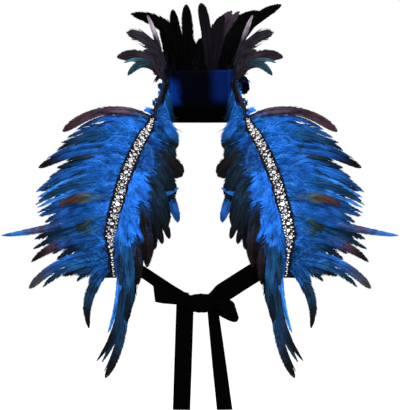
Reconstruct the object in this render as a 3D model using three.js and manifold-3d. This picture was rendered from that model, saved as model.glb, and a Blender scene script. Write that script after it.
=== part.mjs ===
// A feather cape: a standing satin collar with black plumes, two feather wings that fall from
// the collar over the chest, a crystal trim down each wing, and ribbon ties knotted in a bow.
// Millimetres, +Z up. The wearer faces -Y. The origin is the middle of the neck at the collar's foot.
// "left" is the side at -X, and the right wing is its mirror image.

import * as THREE from "three";
import { mergeVertices } from "three/addons/utils/BufferGeometryUtils.js";
import Module from "manifold-3d";

const wasm = await Module();
wasm.setup();

const radians = THREE.MathUtils.degToRad;

// Driving dimensions
const SEWN_GAP = 0.3; // between two pieces that are sewn or tied together
const NECK_RADIUS = 56; // inside of the collar
const COLLAR_REACH_DEG = 132; // from the middle of the back to each front edge
const COLLAR_WALL = 2;
const COLLAR_FLARE = 2; // the collar's top is this much wider than its foot
const NECKBAND_HEIGHT = 25;
const COLLAR_HEIGHT = 82; // neckband included
const RIBBON_WIDTH = 27;
const RIBBON_THICK = 1;
const TAPE_HALF = 1; // half of a fringe tape's thickness
const FEATHER_HALF = 0.7; // half of a feather's thickness at its quill
const TRIM_THICK = 1.6;
const TRIM_LIFT = 0.45; // between the tapes and the braid, where the feathers' quills lie
const STONE_PITCH = 10.4;
const STONE_RADIUS = 4.6;
const STONE_HEIGHT = 2.8;
const STONE_TABLE = 0.6; // radius of a stone's flat table, as a share of its girdle
const STONE_SINK = 0.5; // a stone's girdle lies this far down in the braid
const STONE_CULET = 1.2; // and its foot this far
const STONE_EDGE = 0.4; // braid left beside a stone
const STONE_FACETS = 8;
const STONE_SIDESTEP = 3.6; // stones stand this far left and right of the middle line in turn
const TRIM_BARE = 0.19; // share of the trim's length, at the neck, that has no stones

// The trim's middle line on the left wing, from the collar down over the chest. fall is how far
// the wing's outer side turns back from straight sideways, in degrees.
const TRIM_LINE = [
  { x: -51.9, y: -32.4, z: 62, fall: 58 },
  { x: -71.5, y: -45, z: 3, fall: 34 },
  { x: -87.5, y: -58, z: -26, fall: 24 },
  { x: -106, y: -75, z: -63.5, fall: 20 },
  { x: -119.3, y: -86, z: -101, fall: 19 },
  { x: -129.3, y: -92.5, z: -138, fall: 18 },
  { x: -136.7, y: -95, z: -175, fall: 16 },
  { x: -138, y: -94, z: -206, fall: 15 },
  { x: -135.5, y: -90, z: -240, fall: 14 },
];
const TRIM_STATIONS = 16;

// The trim's width, narrow at the neck and at its lower end.
const TRIM_WIDTHS = [
  { at: 0, width: 6 },
  { at: 0.17, width: 7 },
  { at: 0.22, width: 11 },
  { at: 0.28, width: 18.5 },
  { at: 0.8, width: 18.5 },
  { at: 0.85, width: 12 },
  { at: 0.89, width: 8 },
  { at: 1, width: 5.5 },
];

// How far each fringe tape runs from the trim's middle line, and where the feathers leave it.
const TAPE_REACHES = [
  { at: 0, edge: 12, roots: 10 },
  { at: 0.16, edge: 12, roots: 10 },
  { at: 0.25, edge: 13, roots: 11 },
  { at: 1, edge: 13, roots: 11 },
];

// The long feathers of the wing's outer fringe. at is the root's place down the trim, and x, y and z
// are the tip. bow is the height of the quill's arch, positive where it turns anticlockwise as seen
// from the front, and rise is how far the arch stands off the chest.
const OUTER_FEATHERS = [
  { at: 0.04, x: -66, y: -26, z: 56, bow: 2, rise: 1, width: 11 },
  { at: 0.11, x: -70, y: -34, z: 37, bow: 2, rise: 1, width: 9 },
  { at: 0.17, x: -87, y: -36, z: 18, bow: 4, rise: 2, width: 13 },
  { at: 0.19, x: -213, y: -8, z: -14, bow: 22, rise: 8, width: 20 },
  { at: 0.25, x: -206, y: -14, z: -24, bow: 14, rise: 3, width: 26 },
  { at: 0.31, x: -222, y: -16, z: -44, bow: 12, rise: 9, width: 26 },
  { at: 0.37, x: -250, y: -18, z: -70, bow: 14, rise: 4, width: 18 },
  { at: 0.46, x: -254, y: -24, z: -108, bow: 14, rise: 4, width: 28 },
  { at: 0.55, x: -250, y: -27, z: -122, bow: 8, rise: 10, width: 28 },
  { at: 0.62, x: -249, y: -32, z: -145, bow: 4, rise: 4, width: 28 },
  { at: 0.68, x: -307, y: -34, z: -175, bow: -8, rise: 9, width: 15 },
  { at: 0.74, x: -244, y: -40, z: -186, bow: 5, rise: 4, width: 30 },
  { at: 0.8, x: -261, y: -44, z: -216, bow: 10, rise: 11, width: 20 },
  { at: 0.88, x: -264, y: -52, z: -257, bow: 15, rise: 5, width: 17 },
  { at: 0.91, x: -243, y: -54, z: -255, bow: 12, rise: 10, width: 18 },
  { at: 0.95, x: -212, y: -62, z: -240, bow: 6, rise: 5, width: 24 },
  { at: 0.955, x: -171, y: -84, z: -318, bow: 16, rise: 4, width: 20 },
];

// The feathers of the inner fringe, which hang inward and down.
const INNER_FEATHERS = [
  { at: 0.03, x: -38, y: -44, z: 2, bow: 1, rise: 2, width: 12 },
  { at: 0.1, x: -40, y: -56, z: -40, bow: 0, rise: 5, width: 24 },
  { at: 0.19, x: -36, y: -62, z: -34, bow: -6, rise: 9, width: 24 },
  { at: 0.33, x: -23, y: -74, z: -78, bow: 0, rise: 7, width: 26 },
  { at: 0.35, x: -40, y: -88, z: -116, bow: -6, rise: 11, width: 26 },
  { at: 0.42, x: -33, y: -98, z: -155, bow: -14, rise: 6, width: 16 },
  { at: 0.47, x: -52, y: -104, z: -172, bow: -10, rise: 12, width: 24 },
  { at: 0.54, x: -60, y: -107, z: -187, bow: -8, rise: 7, width: 22 },
  { at: 0.6, x: -74, y: -110, z: -208, bow: -12, rise: 12, width: 28 },
  { at: 0.67, x: -94, y: -116, z: -246, bow: -12, rise: 7, width: 24 },
  { at: 0.74, x: -106, y: -117, z: -300, bow: -14, rise: 12, width: 20 },
  { at: 0.81, x: -142, y: -116, z: -325, bow: -13, rise: 7, width: 16 },
  { at: 0.87, x: -159, y: -115, z: -368, bow: -27, rise: 12, width: 16 },
  { at: 0.91, x: -146, y: -118, z: -394, bow: -23, rise: 8, width: 20 },
];

// The shorter wide fluff that lies under each row of long feathers, as a share of their reach.
const WING_FLUFF = { count: 5, first: 0.28, last: 0.9, share: 0.6, width: 44, rise: -4 };
const PLUME_FLUFF = { count: 5, first: -53.5, last: 46, share: 0.5, width: 32, rise: -2 };
const NO_FLUFF = { count: 0 };

// The black plumes behind the neck. at is the root's angle round the collar, in degrees from the
// middle of the back. x, y, z and bow are as on the wings, and rise leans the arch forward.
const BACK_PLUMES = [
  { at: -50, x: -62, y: 72, z: 150, bow: 4, rise: 2, width: 16 },
  { at: -38, x: -108, y: 84, z: 170, bow: 36, rise: 5, width: 25 },
  { at: -27, x: -42.5, y: 80, z: 177, bow: 0, rise: 2, width: 18 },
  { at: -17, x: -21.5, y: 86, z: 185, bow: 0, rise: 5, width: 20 },
  { at: -5, x: -5, y: 74, z: 120, bow: 0, rise: 2, width: 18 },
  { at: 14, x: 1, y: 88, z: 187, bow: 4, rise: 5, width: 17 },
  { at: 18, x: 22, y: 76, z: 150, bow: 0, rise: 2, width: 28 },
  { at: 23, x: 50, y: 84, z: 175, bow: -13, rise: 5, width: 28 },
  { at: 33, x: 92, y: 80, z: 174, bow: -25, rise: 2, width: 27 },
  { at: 42, x: 127, y: 78, z: 184, bow: -25, rise: 5, width: 18 },
  { at: 50, x: 68, y: 66, z: 138, bow: -5, rise: 2, width: 22 },
  { at: 56, x: 61.5, y: 47, z: 48, bow: -13, rise: 1, width: 24 },
];

// The fan at the left side of the collar.
const SIDE_PLUMES = [
  { at: -72, x: -82, y: 34, z: 167, bow: 5, rise: 1, width: 10 },
  { at: -80, x: -115, y: 22, z: 141, bow: 15, rise: 1, width: 18 },
  { at: -88, x: -129, y: 8, z: 101, bow: 15, rise: 1, width: 18 },
  { at: -95, x: -112, y: -4, z: 73, bow: 19, rise: 1, width: 14 },
  { at: -102, x: -70, y: -19, z: 62, bow: 3, rise: 1, width: 9 },
];
const PLUME_ROOT_HEIGHT = 72;
const PLUME_TAPE_HEIGHT = 10;
const PLUME_TAPES = { back: [-63, 63], side: [-107, -68] }; // degrees round the collar
const PLUME_TURN = { back: 0.55, side: 0 }; // share of the collar's turn that the vanes follow

// The bow, in front of the chest. The ties enter the knot behind its middle and the loops leave it in
// front. rise is a loop's climb over its reach, roll turns its edge to the front, in degrees, and slant
// leans its folded end sideways. tuck is how far a tail's top lies over the knot's lowest point. A tie's
// path is sideways from the trim's middle line, and drop is how far it clears the tapes' chest side.
const KNOT = { x: 2, y: -110, z: -279, width: 46, height: 30, depth: 20 };
const KNOT_ENTRY = 5; // the ties and the loops pass this far behind and before the knot's middle
const LEFT_LOOP = { reach: 48.5, rise: 7.9, lower: -7, spread: 8, roll: 0, slant: -0.12 };
const RIGHT_LOOP = { reach: 30, rise: -8.7, lower: 4.3, spread: 24, roll: -25, slant: -0.3 };
const TAIL_FOOT_Z = -443.5; // cut ends of the bow's tails
const LEFT_TAIL = { topX: -23, tuck: 1.1, footX: -28.5, footY: -102, topTurn: 0, footTurn: 0 };
const RIGHT_TAIL = { topX: 18.5, tuck: 2.4, footX: 38, footY: -99, topTurn: 54, footTurn: 28 };
const TIE_FROM = 0.93; // the ties are sewn behind the wing here, as a share of the trim's length
const TIE_ROOM = 1.2; // the tie's slanted end starts this far off the knot
const TIE_CLIMB = 6; // the ties enter the knot this far over its middle
const TIE_GATHER = 0.6; // a tie's width where it is drawn into the knot
const LOOP_GATHER = 0.72; // a loop's width there
const TIE_PATH = { start: 4, seam: -7, clear: -20, drop: 4.5, entry: 12, climb: 3, lean: 0.25, steps: 10 };
const KNOT_SHAPE = { slices: 6, sides: 12, end: 0.72, square: 0.7 }; // end is its girth at each end
const LOOP_SHAPE = { steps: 14, neck: 0.4, fullBy: 0.77 };
const TAIL_WAVE = { depth: 3, halfWaves: 1.6, steps: 8 };

// Materials
const cloth = (color, roughness) => new THREE.MeshStandardMaterial({ color, roughness, metalness: 0 });
const BLACK_SATIN = cloth(0x050505, 0.45);
const NAVY_SATIN = cloth(0x06123c, 0.4);
const BLUE_FEATHER = cloth(0x1a5fc4, 0.75);
const DARK_BLUE_FEATHER = cloth(0x15509f, 0.7);
const BLACK_FEATHER = cloth(0x0b090c, 0.5);
const DUSKY_FEATHER = cloth(0x1c1a24, 0.55);
const CRYSTAL = new THREE.MeshStandardMaterial({ color: 0xd5d6da, roughness: 0.15, metalness: 0.5 });

// A point at offsets from another along two directions.
function offset(point, first, a, second, b) {
  return point.clone().addScaledVector(first, a).addScaledVector(second, b);
}

// A closed solid through rings of points in order, with flat ends. A last ring of one point is a tip.
function loft(rings) {
  const points = rings.flat();
  const starts = rings.map((_, k) => rings.slice(0, k).flat().length);
  const sides = rings[0].length;
  const index = [];
  for (let k = 0; k + 1 < rings.length; k++) {
    for (let i = 0; i < sides; i++) {
      const a = starts[k] + i;
      const b = starts[k] + ((i + 1) % sides);
      if (rings[k + 1].length === 1) {
        index.push(a, b, starts[k + 1]);
      } else {
        const c = starts[k + 1] + ((i + 1) % sides);
        const d = starts[k + 1] + i;
        index.push(a, b, c, a, c, d);
      }
    }
  }
  const last = starts.at(-1);
  for (let i = 1; i + 1 < sides; i++) {
    index.push(starts[0], starts[0] + i + 1, starts[0] + i);
    if (rings.at(-1).length > 1) index.push(last, last + i, last + i + 1);
  }
  return facingOut(new THREE.BufferGeometry().setFromPoints(points).setIndex(index));
}

// The geometry with its faces turned out, whichever way round its rings were.
function facingOut(geometry) {
  const index = geometry.index.array;
  const corner = (i) => new THREE.Vector3().fromBufferAttribute(geometry.attributes.position, index[i]);
  let volume = 0;
  for (let i = 0; i < index.length; i += 3) {
    volume += corner(i).dot(corner(i + 1).cross(corner(i + 2)));
  }
  if (volume < 0) index.reverse();
  return geometry;
}

// Joins overlapping closed geometries into one solid.
function fuse(geometries) {
  const solids = geometries.map((geometry) => {
    const bare = new THREE.BufferGeometry().setAttribute("position", geometry.attributes.position.clone());
    const merged = mergeVertices(bare.setIndex(geometry.index), 1e-4);
    const triangles = [];
    for (let i = 0; i < merged.index.count; i += 3) {
      const [a, b, c] = merged.index.array.subarray(i, i + 3);
      if (a !== b && b !== c && c !== a) triangles.push(a, b, c);
    }
    facingOut(merged.setIndex(triangles));
    const vertProperties = merged.attributes.position.array;
    const triVerts = new Uint32Array(merged.index.array);
    return new wasm.Manifold(new wasm.Mesh({ numProp: 3, vertProperties, triVerts }));
  });
  const mesh = solids.reduce((whole, solid) => whole.add(solid)).getMesh();
  return new THREE.BufferGeometry()
    .setAttribute("position", new THREE.BufferAttribute(mesh.vertProperties, 3))
    .setIndex(new THREE.BufferAttribute(mesh.triVerts, 1));
}

// The row of a table at a place between two of its rows.
function blend(rows, at) {
  const next = rows.findIndex((row) => row.at >= at);
  if (next === 0) return { ...rows[0], at };
  if (next < 0) return { ...rows.at(-1), at };
  const [a, b] = [rows[next - 1], rows[next]];
  const share = (at - a.at) / (b.at - a.at);
  const columns = Object.keys(a).map((key) => [key, THREE.MathUtils.lerp(a[key], b[key], share)]);
  return Object.fromEntries(columns);
}

function part(name, geometry, material) {
  const mesh = new THREE.Mesh(geometry, material);
  mesh.name = name;
  return mesh;
}

// The wing's trim line as a curve, and the axes of the wing there: out sideways, down along the
// trim, and face away from the chest.
const trimCurve = new THREE.CatmullRomCurve3(TRIM_LINE.map(({ x, y, z }) => new THREE.Vector3(x, y, z)));

function wingSeat(at) {
  const raw = trimCurve.getUtoTmapping(at) * (TRIM_LINE.length - 1);
  const row = Math.min(Math.floor(raw), TRIM_LINE.length - 2);
  const fall = radians(THREE.MathUtils.lerp(TRIM_LINE[row].fall, TRIM_LINE[row + 1].fall, raw - row));
  const down = trimCurve.getTangentAt(at);
  const out = new THREE.Vector3(-Math.cos(fall), Math.sin(fall), 0);
  out.addScaledVector(down, -out.dot(down)).normalize();
  const face = new THREE.Vector3().crossVectors(out, down);
  return { point: trimCurve.getPointAt(at), out, down, face };
}

function collarRadius(height) {
  return NECK_RADIUS + (COLLAR_FLARE * height) / COLLAR_HEIGHT;
}

// One feather as a thin blade along an arched quill: narrow at its root, widest past its middle, with
// a ridge along the quill. face is the side that its vane shows.
const BLADE_STATIONS = [0, 0.3, 0.62, 0.87];
const BLADE_CAMBER = 0.14; // the vane's edges drop by this share of its half width
const BLADE_OPEN = 0.35; // share of the quill by which the vane has its full width
const BLADE_DROP = 0.3; // share of the quill by which the vane has its full camber
const BLADE_THIN = 0.5; // share of the ridge lost at the tip
const WING_ROOT_WIDTH = 0.5; // a vane's width at its root, as a share of its full width
const PLUME_ROOT_WIDTH = 0.12;

function feather(root, face, row, rootWidth) {
  const tip = new THREE.Vector3(row.x, row.y, row.z);
  const chord = tip.clone().sub(root);
  const arch = new THREE.Vector3().crossVectors(chord, face).setLength((row.bow * 4) / 3);
  arch.addScaledVector(face, (row.rise * 4) / 3);
  const near = root.clone().addScaledVector(chord, 1 / 3).add(arch);
  const far = root.clone().addScaledVector(chord, 2 / 3).add(arch);
  const quill = new THREE.CubicBezierCurve3(root, near, far, tip);
  const rings = BLADE_STATIONS.map((u) => {
    const here = quill.getPointAt(u);
    const heading = quill.getTangentAt(u);
    const side = new THREE.Vector3().crossVectors(heading, face).normalize();
    const top = new THREE.Vector3().crossVectors(side, heading);
    const opening = THREE.MathUtils.lerp(rootWidth, 1, Math.min(1, u / BLADE_OPEN));
    const spread = (row.width / 2) * opening * Math.sqrt(1 - u ** 5);
    const drop = -FEATHER_HALF - spread * BLADE_CAMBER * Math.min(1, u / BLADE_DROP);
    return [
      offset(here, side, spread, top, drop),
      offset(here, side, 0, top, FEATHER_HALF * (1 - BLADE_THIN * u)),
      offset(here, side, -spread, top, drop),
    ];
  });
  return loft([...rings, [tip]]);
}

// A row of long feathers and the fluff under them. rootAt gives a place's root point and face.
function feathers(rows, fluff, rootAt, rootWidth) {
  const long = rows.map((row) => feather(...rootAt(row.at), row, rootWidth));
  const short = [];
  for (let k = 0; k < fluff.count; k++) {
    const at = THREE.MathUtils.lerp(fluff.first, fluff.last, k / (fluff.count - 1));
    const row = blend(rows, at);
    const [root, face] = rootAt(at);
    const tip = root.clone().lerp(new THREE.Vector3(row.x, row.y, row.z), fluff.share);
    const shape = { ...row, ...tip, width: fluff.width, rise: fluff.rise };
    short.push(feather(root, face, shape, rootWidth));
  }
  return [...long, ...short];
}

// A flat strip along the wing between two offsets from the trim's middle line and two heights off
// the tape's middle. The offsets are functions of the place down the trim.
function wingStrip(from, to, low, high) {
  const rings = [];
  for (let k = 0; k <= TRIM_STATIONS; k++) {
    const at = k / TRIM_STATIONS;
    const { point, out, face } = wingSeat(at);
    rings.push([
      offset(point, out, from(at), face, low),
      offset(point, out, to(at), face, low),
      offset(point, out, to(at), face, high),
      offset(point, out, from(at), face, high),
    ]);
  }
  return loft(rings);
}

// One fringe: a tape with its feathers. side is 1 for the outer fringe and -1 for the inner one.
function fringe(rows, side) {
  const tape = wingStrip(
    () => (side * SEWN_GAP) / 2,
    (at) => side * blend(TAPE_REACHES, at).edge,
    -TAPE_HALF,
    TAPE_HALF,
  );
  const rootAt = (at) => {
    const { point, out, face } = wingSeat(at);
    return [point.addScaledVector(out, side * blend(TAPE_REACHES, at).roots), face];
  };
  return fuse([tape, ...feathers(rows, WING_FLUFF, rootAt, WING_ROOT_WIDTH)]);
}

// The crystal trim: a braid that covers the seam of both tapes, set with cut stones that stand left
// and right of its middle line in turn, or on it where the braid is narrow.
function crystalTrim() {
  const width = (at) => blend(TRIM_WIDTHS, at).width;
  const foot = TAPE_HALF + TRIM_LIFT;
  const braid = wingStrip(
    (at) => -width(at) / 2,
    (at) => width(at) / 2,
    foot,
    foot + TRIM_THICK,
  );
  const cut = [
    [0, -STONE_CULET],
    [STONE_RADIUS, -STONE_SINK],
    [STONE_RADIUS * STONE_TABLE, STONE_HEIGHT],
    [0, STONE_HEIGHT],
  ];
  const length = trimCurve.getLength();
  const count = Math.floor((length * (1 - TRIM_BARE)) / STONE_PITCH);
  const stones = [];
  for (let k = 0; k < count; k++) {
    const at = TRIM_BARE + ((k + 0.5) * STONE_PITCH) / length;
    const room = width(at) / 2 - STONE_EDGE;
    const size = Math.min(1, room / STONE_RADIUS);
    const aside = Math.min(STONE_SIDESTEP, room - size * STONE_RADIUS) * (k % 2 ? 1 : -1);
    const profile = cut.map(([r, h]) => new THREE.Vector2(r * size, h));
    const stone = new THREE.LatheGeometry(profile, STONE_FACETS);
    const { point, out, down, face } = wingSeat(at);
    const middle = offset(point, out, aside, face, foot + TRIM_THICK);
    stones.push(stone.applyMatrix4(new THREE.Matrix4().makeBasis(out, face, down).setPosition(middle)));
  }
  return fuse([braid, ...stones]);
}

// A wall round the neck between two heights and two angles, clearance outside the collar's inside.
const WALL_STEP_DEG = 11;

function collarWall(low, high, fromDegrees, toDegrees, clearance, thick) {
  const steps = Math.ceil(Math.abs(toDegrees - fromDegrees) / WALL_STEP_DEG);
  const rings = [];
  for (let k = 0; k <= steps; k++) {
    const turn = radians(THREE.MathUtils.lerp(fromDegrees, toDegrees, k / steps));
    const at = (z, more) => {
      const radius = collarRadius(z) + clearance + more;
      return new THREE.Vector3(radius * Math.sin(turn), radius * Math.cos(turn), z);
    };
    rings.push([at(low, 0), at(low, thick), at(high, thick), at(high, 0)]);
  }
  return loft(rings);
}

// Plumes rooted in a tape on the collar's outside. turnShare is how far the vanes turn with the
// collar rather than show their full width to the front.
function plumes(rows, [fromDegrees, toDegrees], turnShare, fluff) {
  const clearance = COLLAR_WALL + SEWN_GAP;
  const low = PLUME_ROOT_HEIGHT - PLUME_TAPE_HEIGHT / 2;
  const tape = collarWall(low, low + PLUME_TAPE_HEIGHT, fromDegrees, toDegrees, clearance, 2 * TAPE_HALF);
  const radius = collarRadius(PLUME_ROOT_HEIGHT) + clearance + TAPE_HALF;
  const round = (degrees, r, z) => {
    const turn = radians(degrees);
    return new THREE.Vector3(r * Math.sin(turn), r * Math.cos(turn), z);
  };
  const rootAt = (at) => [round(at, radius, PLUME_ROOT_HEIGHT), round(at * turnShare, -1, 0)];
  return fuse([tape, ...feathers(rows, fluff, rootAt, PLUME_ROOT_WIDTH)]);
}

// A ribbon along a list of { point, width, across }, where across is the direction of its width.
function ribbon(stations) {
  const rings = stations.map(({ point, width, across }, k) => {
    const before = stations[Math.max(k - 1, 0)].point;
    const after = stations[Math.min(k + 1, stations.length - 1)].point;
    const heading = after.clone().sub(before).normalize();
    const face = new THREE.Vector3().crossVectors(heading, across).normalize();
    const [half, thick] = [width / 2, RIBBON_THICK / 2];
    return [
      offset(point, across, -half, face, -thick),
      offset(point, across, half, face, -thick),
      offset(point, across, half, face, thick),
      offset(point, across, -half, face, thick),
    ];
  });
  return loft(rings);
}

// A tie from behind the wing's lower end to the knot, drawn together where it enters the knot.
function tie(knotSide) {
  const { point, out, down, face } = wingSeat(TIE_FROM);
  const behind = -(TAPE_HALF + 2 * SEWN_GAP + RIBBON_THICK / 2);
  const start = offset(point, out, TIE_PATH.start, face, behind);
  const seam = offset(point, out, TIE_PATH.seam, face, behind);
  const clear = offset(point, out, TIE_PATH.clear, face, behind - TIE_PATH.drop);
  const knotEnd = knotSide * KNOT.x - KNOT.width / 2;
  const end = new THREE.Vector3(knotEnd - TIE_ROOM, KNOT.y + KNOT_ENTRY, KNOT.z + TIE_CLIMB);
  const entry = end.clone().add(new THREE.Vector3(-TIE_PATH.entry, 0, TIE_PATH.climb));
  const path = new THREE.CatmullRomCurve3([start, seam, clear, entry, end]);
  const stations = [];
  for (let k = 0; k <= TIE_PATH.steps; k++) {
    const u = k / TIE_PATH.steps;
    const heading = path.getTangentAt(u);
    const across = down.clone().negate().lerp(new THREE.Vector3(TIE_PATH.lean, 0, 1), u);
    across.addScaledVector(heading, -across.dot(heading)).normalize();
    const width = RIBBON_WIDTH * THREE.MathUtils.lerp(1, TIE_GATHER, THREE.MathUtils.smoothstep(u, 0.5, 1));
    stations.push({ point: path.getPointAt(u), width, across });
  }
  return ribbon(stations);
}

// The knot: a wrap of ribbon drawn tight, fullest in its middle.
function knot() {
  const rings = [];
  const { slices, sides, end, square } = KNOT_SHAPE;
  for (let k = 0; k <= slices; k++) {
    const u = (2 * k) / slices - 1;
    const swell = end + (1 - end) * Math.cos((u * Math.PI) / 2);
    const ring = [];
    for (let i = 0; i < sides; i++) {
      const turn = (2 * Math.PI * i) / sides;
      const round = (value) => Math.sign(value) * Math.abs(value) ** square;
      ring.push(
        new THREE.Vector3(
          KNOT.x + (u * KNOT.width) / 2,
          KNOT.y + (round(Math.cos(turn)) * KNOT.depth * swell) / 2,
          KNOT.z + (round(Math.sin(turn)) * KNOT.height * swell) / 2,
        ),
      );
    }
    rings.push(ring);
  }
  return loft(rings);
}

// A loop of ribbon that leaves one end of the knot, folds over and comes back behind itself.
function bowLoop(shape, side) {
  const { steps, neck, fullBy } = LOOP_SHAPE;
  const lean = shape.rise / shape.reach;
  const clear = SEWN_GAP + (Math.abs(shape.slant) * RIBBON_WIDTH * LOOP_GATHER) / 2;
  const root = new THREE.Vector3(
    KNOT.x + side * (KNOT.width / 2 + clear),
    KNOT.y - KNOT_ENTRY,
    KNOT.z - shape.lower,
  );
  const heading = new THREE.Vector3(side, 0, lean).normalize();
  const roll = radians(shape.roll);
  const across = new THREE.Vector3(shape.slant, Math.sin(roll), Math.cos(roll)).normalize();
  const apart = new THREE.Vector3().crossVectors(heading, across).normalize();
  const stations = [];
  for (let k = 0; k <= steps; k++) {
    const turn = Math.PI * (k / steps - 0.5);
    const far = Math.sqrt(Math.max(0, Math.cos(turn)));
    const gap = (shape.spread / 2) * Math.sin(turn) * (neck + (1 - neck) * far);
    const point = offset(root, heading, far * shape.reach, apart, gap);
    const gather = THREE.MathUtils.lerp(LOOP_GATHER, 1, Math.min(1, far / fullBy));
    stations.push({ point, width: RIBBON_WIDTH * gather, across });
  }
  return ribbon(stations);
}

// A tail of the bow, hanging from under the knot to its straight cut end.
function bowTail(shape) {
  const top = new THREE.Vector3(shape.topX, KNOT.y, KNOT.z - KNOT.height / 2 + shape.tuck - SEWN_GAP);
  const foot = new THREE.Vector3(shape.footX, shape.footY, TAIL_FOOT_Z);
  const stations = [];
  for (let k = 0; k <= TAIL_WAVE.steps; k++) {
    const u = k / TAIL_WAVE.steps;
    const point = top.clone().lerp(foot, u);
    point.y += TAIL_WAVE.depth * Math.sin(u * Math.PI * TAIL_WAVE.halfWaves);
    const turn = radians(THREE.MathUtils.lerp(shape.topTurn, shape.footTurn, u));
    const across = new THREE.Vector3(Math.cos(turn), Math.sin(turn), 0);
    stations.push({ point, width: RIBBON_WIDTH, across });
  }
  return ribbon(stations);
}

// One wing with its side of the collar's fan and its tie. The right one is mirrored.
function wing(name, side) {
  const group = new THREE.Group();
  group.scale.x = side;
  const fan = plumes(SIDE_PLUMES, PLUME_TAPES.side, PLUME_TURN.side, NO_FLUFF);
  group.add(
    part(`outer_feathers_${name}`, fringe(OUTER_FEATHERS, 1), BLUE_FEATHER),
    part(`inner_feathers_${name}`, fringe(INNER_FEATHERS, -1), DARK_BLUE_FEATHER),
    part(`crystal_trim_${name}`, crystalTrim(), CRYSTAL),
    part(`side_plumes_${name}`, fan, DUSKY_FEATHER),
    part(`tie_${name}`, tie(side), BLACK_SATIN),
  );
  return group;
}

const cape = new THREE.Group();
const [collarFrom, collarTo] = [-COLLAR_REACH_DEG, COLLAR_REACH_DEG];
const neckPlumes = plumes(BACK_PLUMES, PLUME_TAPES.back, PLUME_TURN.back, PLUME_FLUFF);
cape.add(
  part("neckband", collarWall(0, NECKBAND_HEIGHT, collarFrom, collarTo, 0, COLLAR_WALL), BLACK_SATIN),
  part(
    "collar",
    collarWall(NECKBAND_HEIGHT + SEWN_GAP, COLLAR_HEIGHT, collarFrom, collarTo, 0, COLLAR_WALL),
    NAVY_SATIN,
  ),
  part("back_plumes", neckPlumes, BLACK_FEATHER),
  wing("left", 1),
  wing("right", -1),
  part("bow_knot", knot(), BLACK_SATIN),
  part("bow_loop_left", bowLoop(LEFT_LOOP, -1), BLACK_SATIN),
  part("bow_loop_right", bowLoop(RIGHT_LOOP, 1), BLACK_SATIN),
  part("bow_tail_left", bowTail(LEFT_TAIL), BLACK_SATIN),
  part("bow_tail_right", bowTail(RIGHT_TAIL), BLACK_SATIN),
);

export default cape;
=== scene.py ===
import bpy
import numpy as np
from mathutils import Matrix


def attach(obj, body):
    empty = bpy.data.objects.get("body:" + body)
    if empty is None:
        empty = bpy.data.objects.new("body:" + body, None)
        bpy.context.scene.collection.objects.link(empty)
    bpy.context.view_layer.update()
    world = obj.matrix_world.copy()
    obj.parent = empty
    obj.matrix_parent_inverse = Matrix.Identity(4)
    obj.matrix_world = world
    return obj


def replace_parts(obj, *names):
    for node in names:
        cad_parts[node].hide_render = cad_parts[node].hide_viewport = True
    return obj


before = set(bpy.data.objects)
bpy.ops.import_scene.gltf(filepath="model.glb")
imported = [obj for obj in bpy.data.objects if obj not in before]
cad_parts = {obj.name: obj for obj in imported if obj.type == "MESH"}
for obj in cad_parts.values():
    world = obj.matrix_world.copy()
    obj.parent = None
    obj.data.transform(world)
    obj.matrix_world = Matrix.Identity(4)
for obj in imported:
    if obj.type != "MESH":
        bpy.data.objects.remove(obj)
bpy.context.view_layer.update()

# Collar: a stand collar of navy satin, 57 mm high, which goes round the back and the sides of the neck
# and is open in front. It is one strip folded double, and its foot is sewn to the neckband.
MM = 0.001
NECK_RADIUS = 56 * MM
COLLAR_FLARE = 2 * MM
COLLAR_FOOT = 24.7 * MM
COLLAR_TOP = 82 * MM
COLLAR_REACH = np.radians(132)
COLLAR_THICK = 1.8 * MM
COLLAR_MIDDLE = 129 * MM
COLLAR_EASE = 0.5 * MM
COLLAR_WAVES = 9
STEPS_ROUND_NECK = 121
STEPS_UP_COLLAR = 15
# Painted light on the satin: near black as painted shade in the back's middle, royal blue as a painted
# sheen to the sides
NAVY = (0.0001, 0.0001, 0.0022, 1)
NAVY_LIT = (0.0012, 0.0200, 0.1600, 1)
LIGHT_ON_RIGHT = 0.42
LIGHT_ON_LEFT = 1.15


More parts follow.
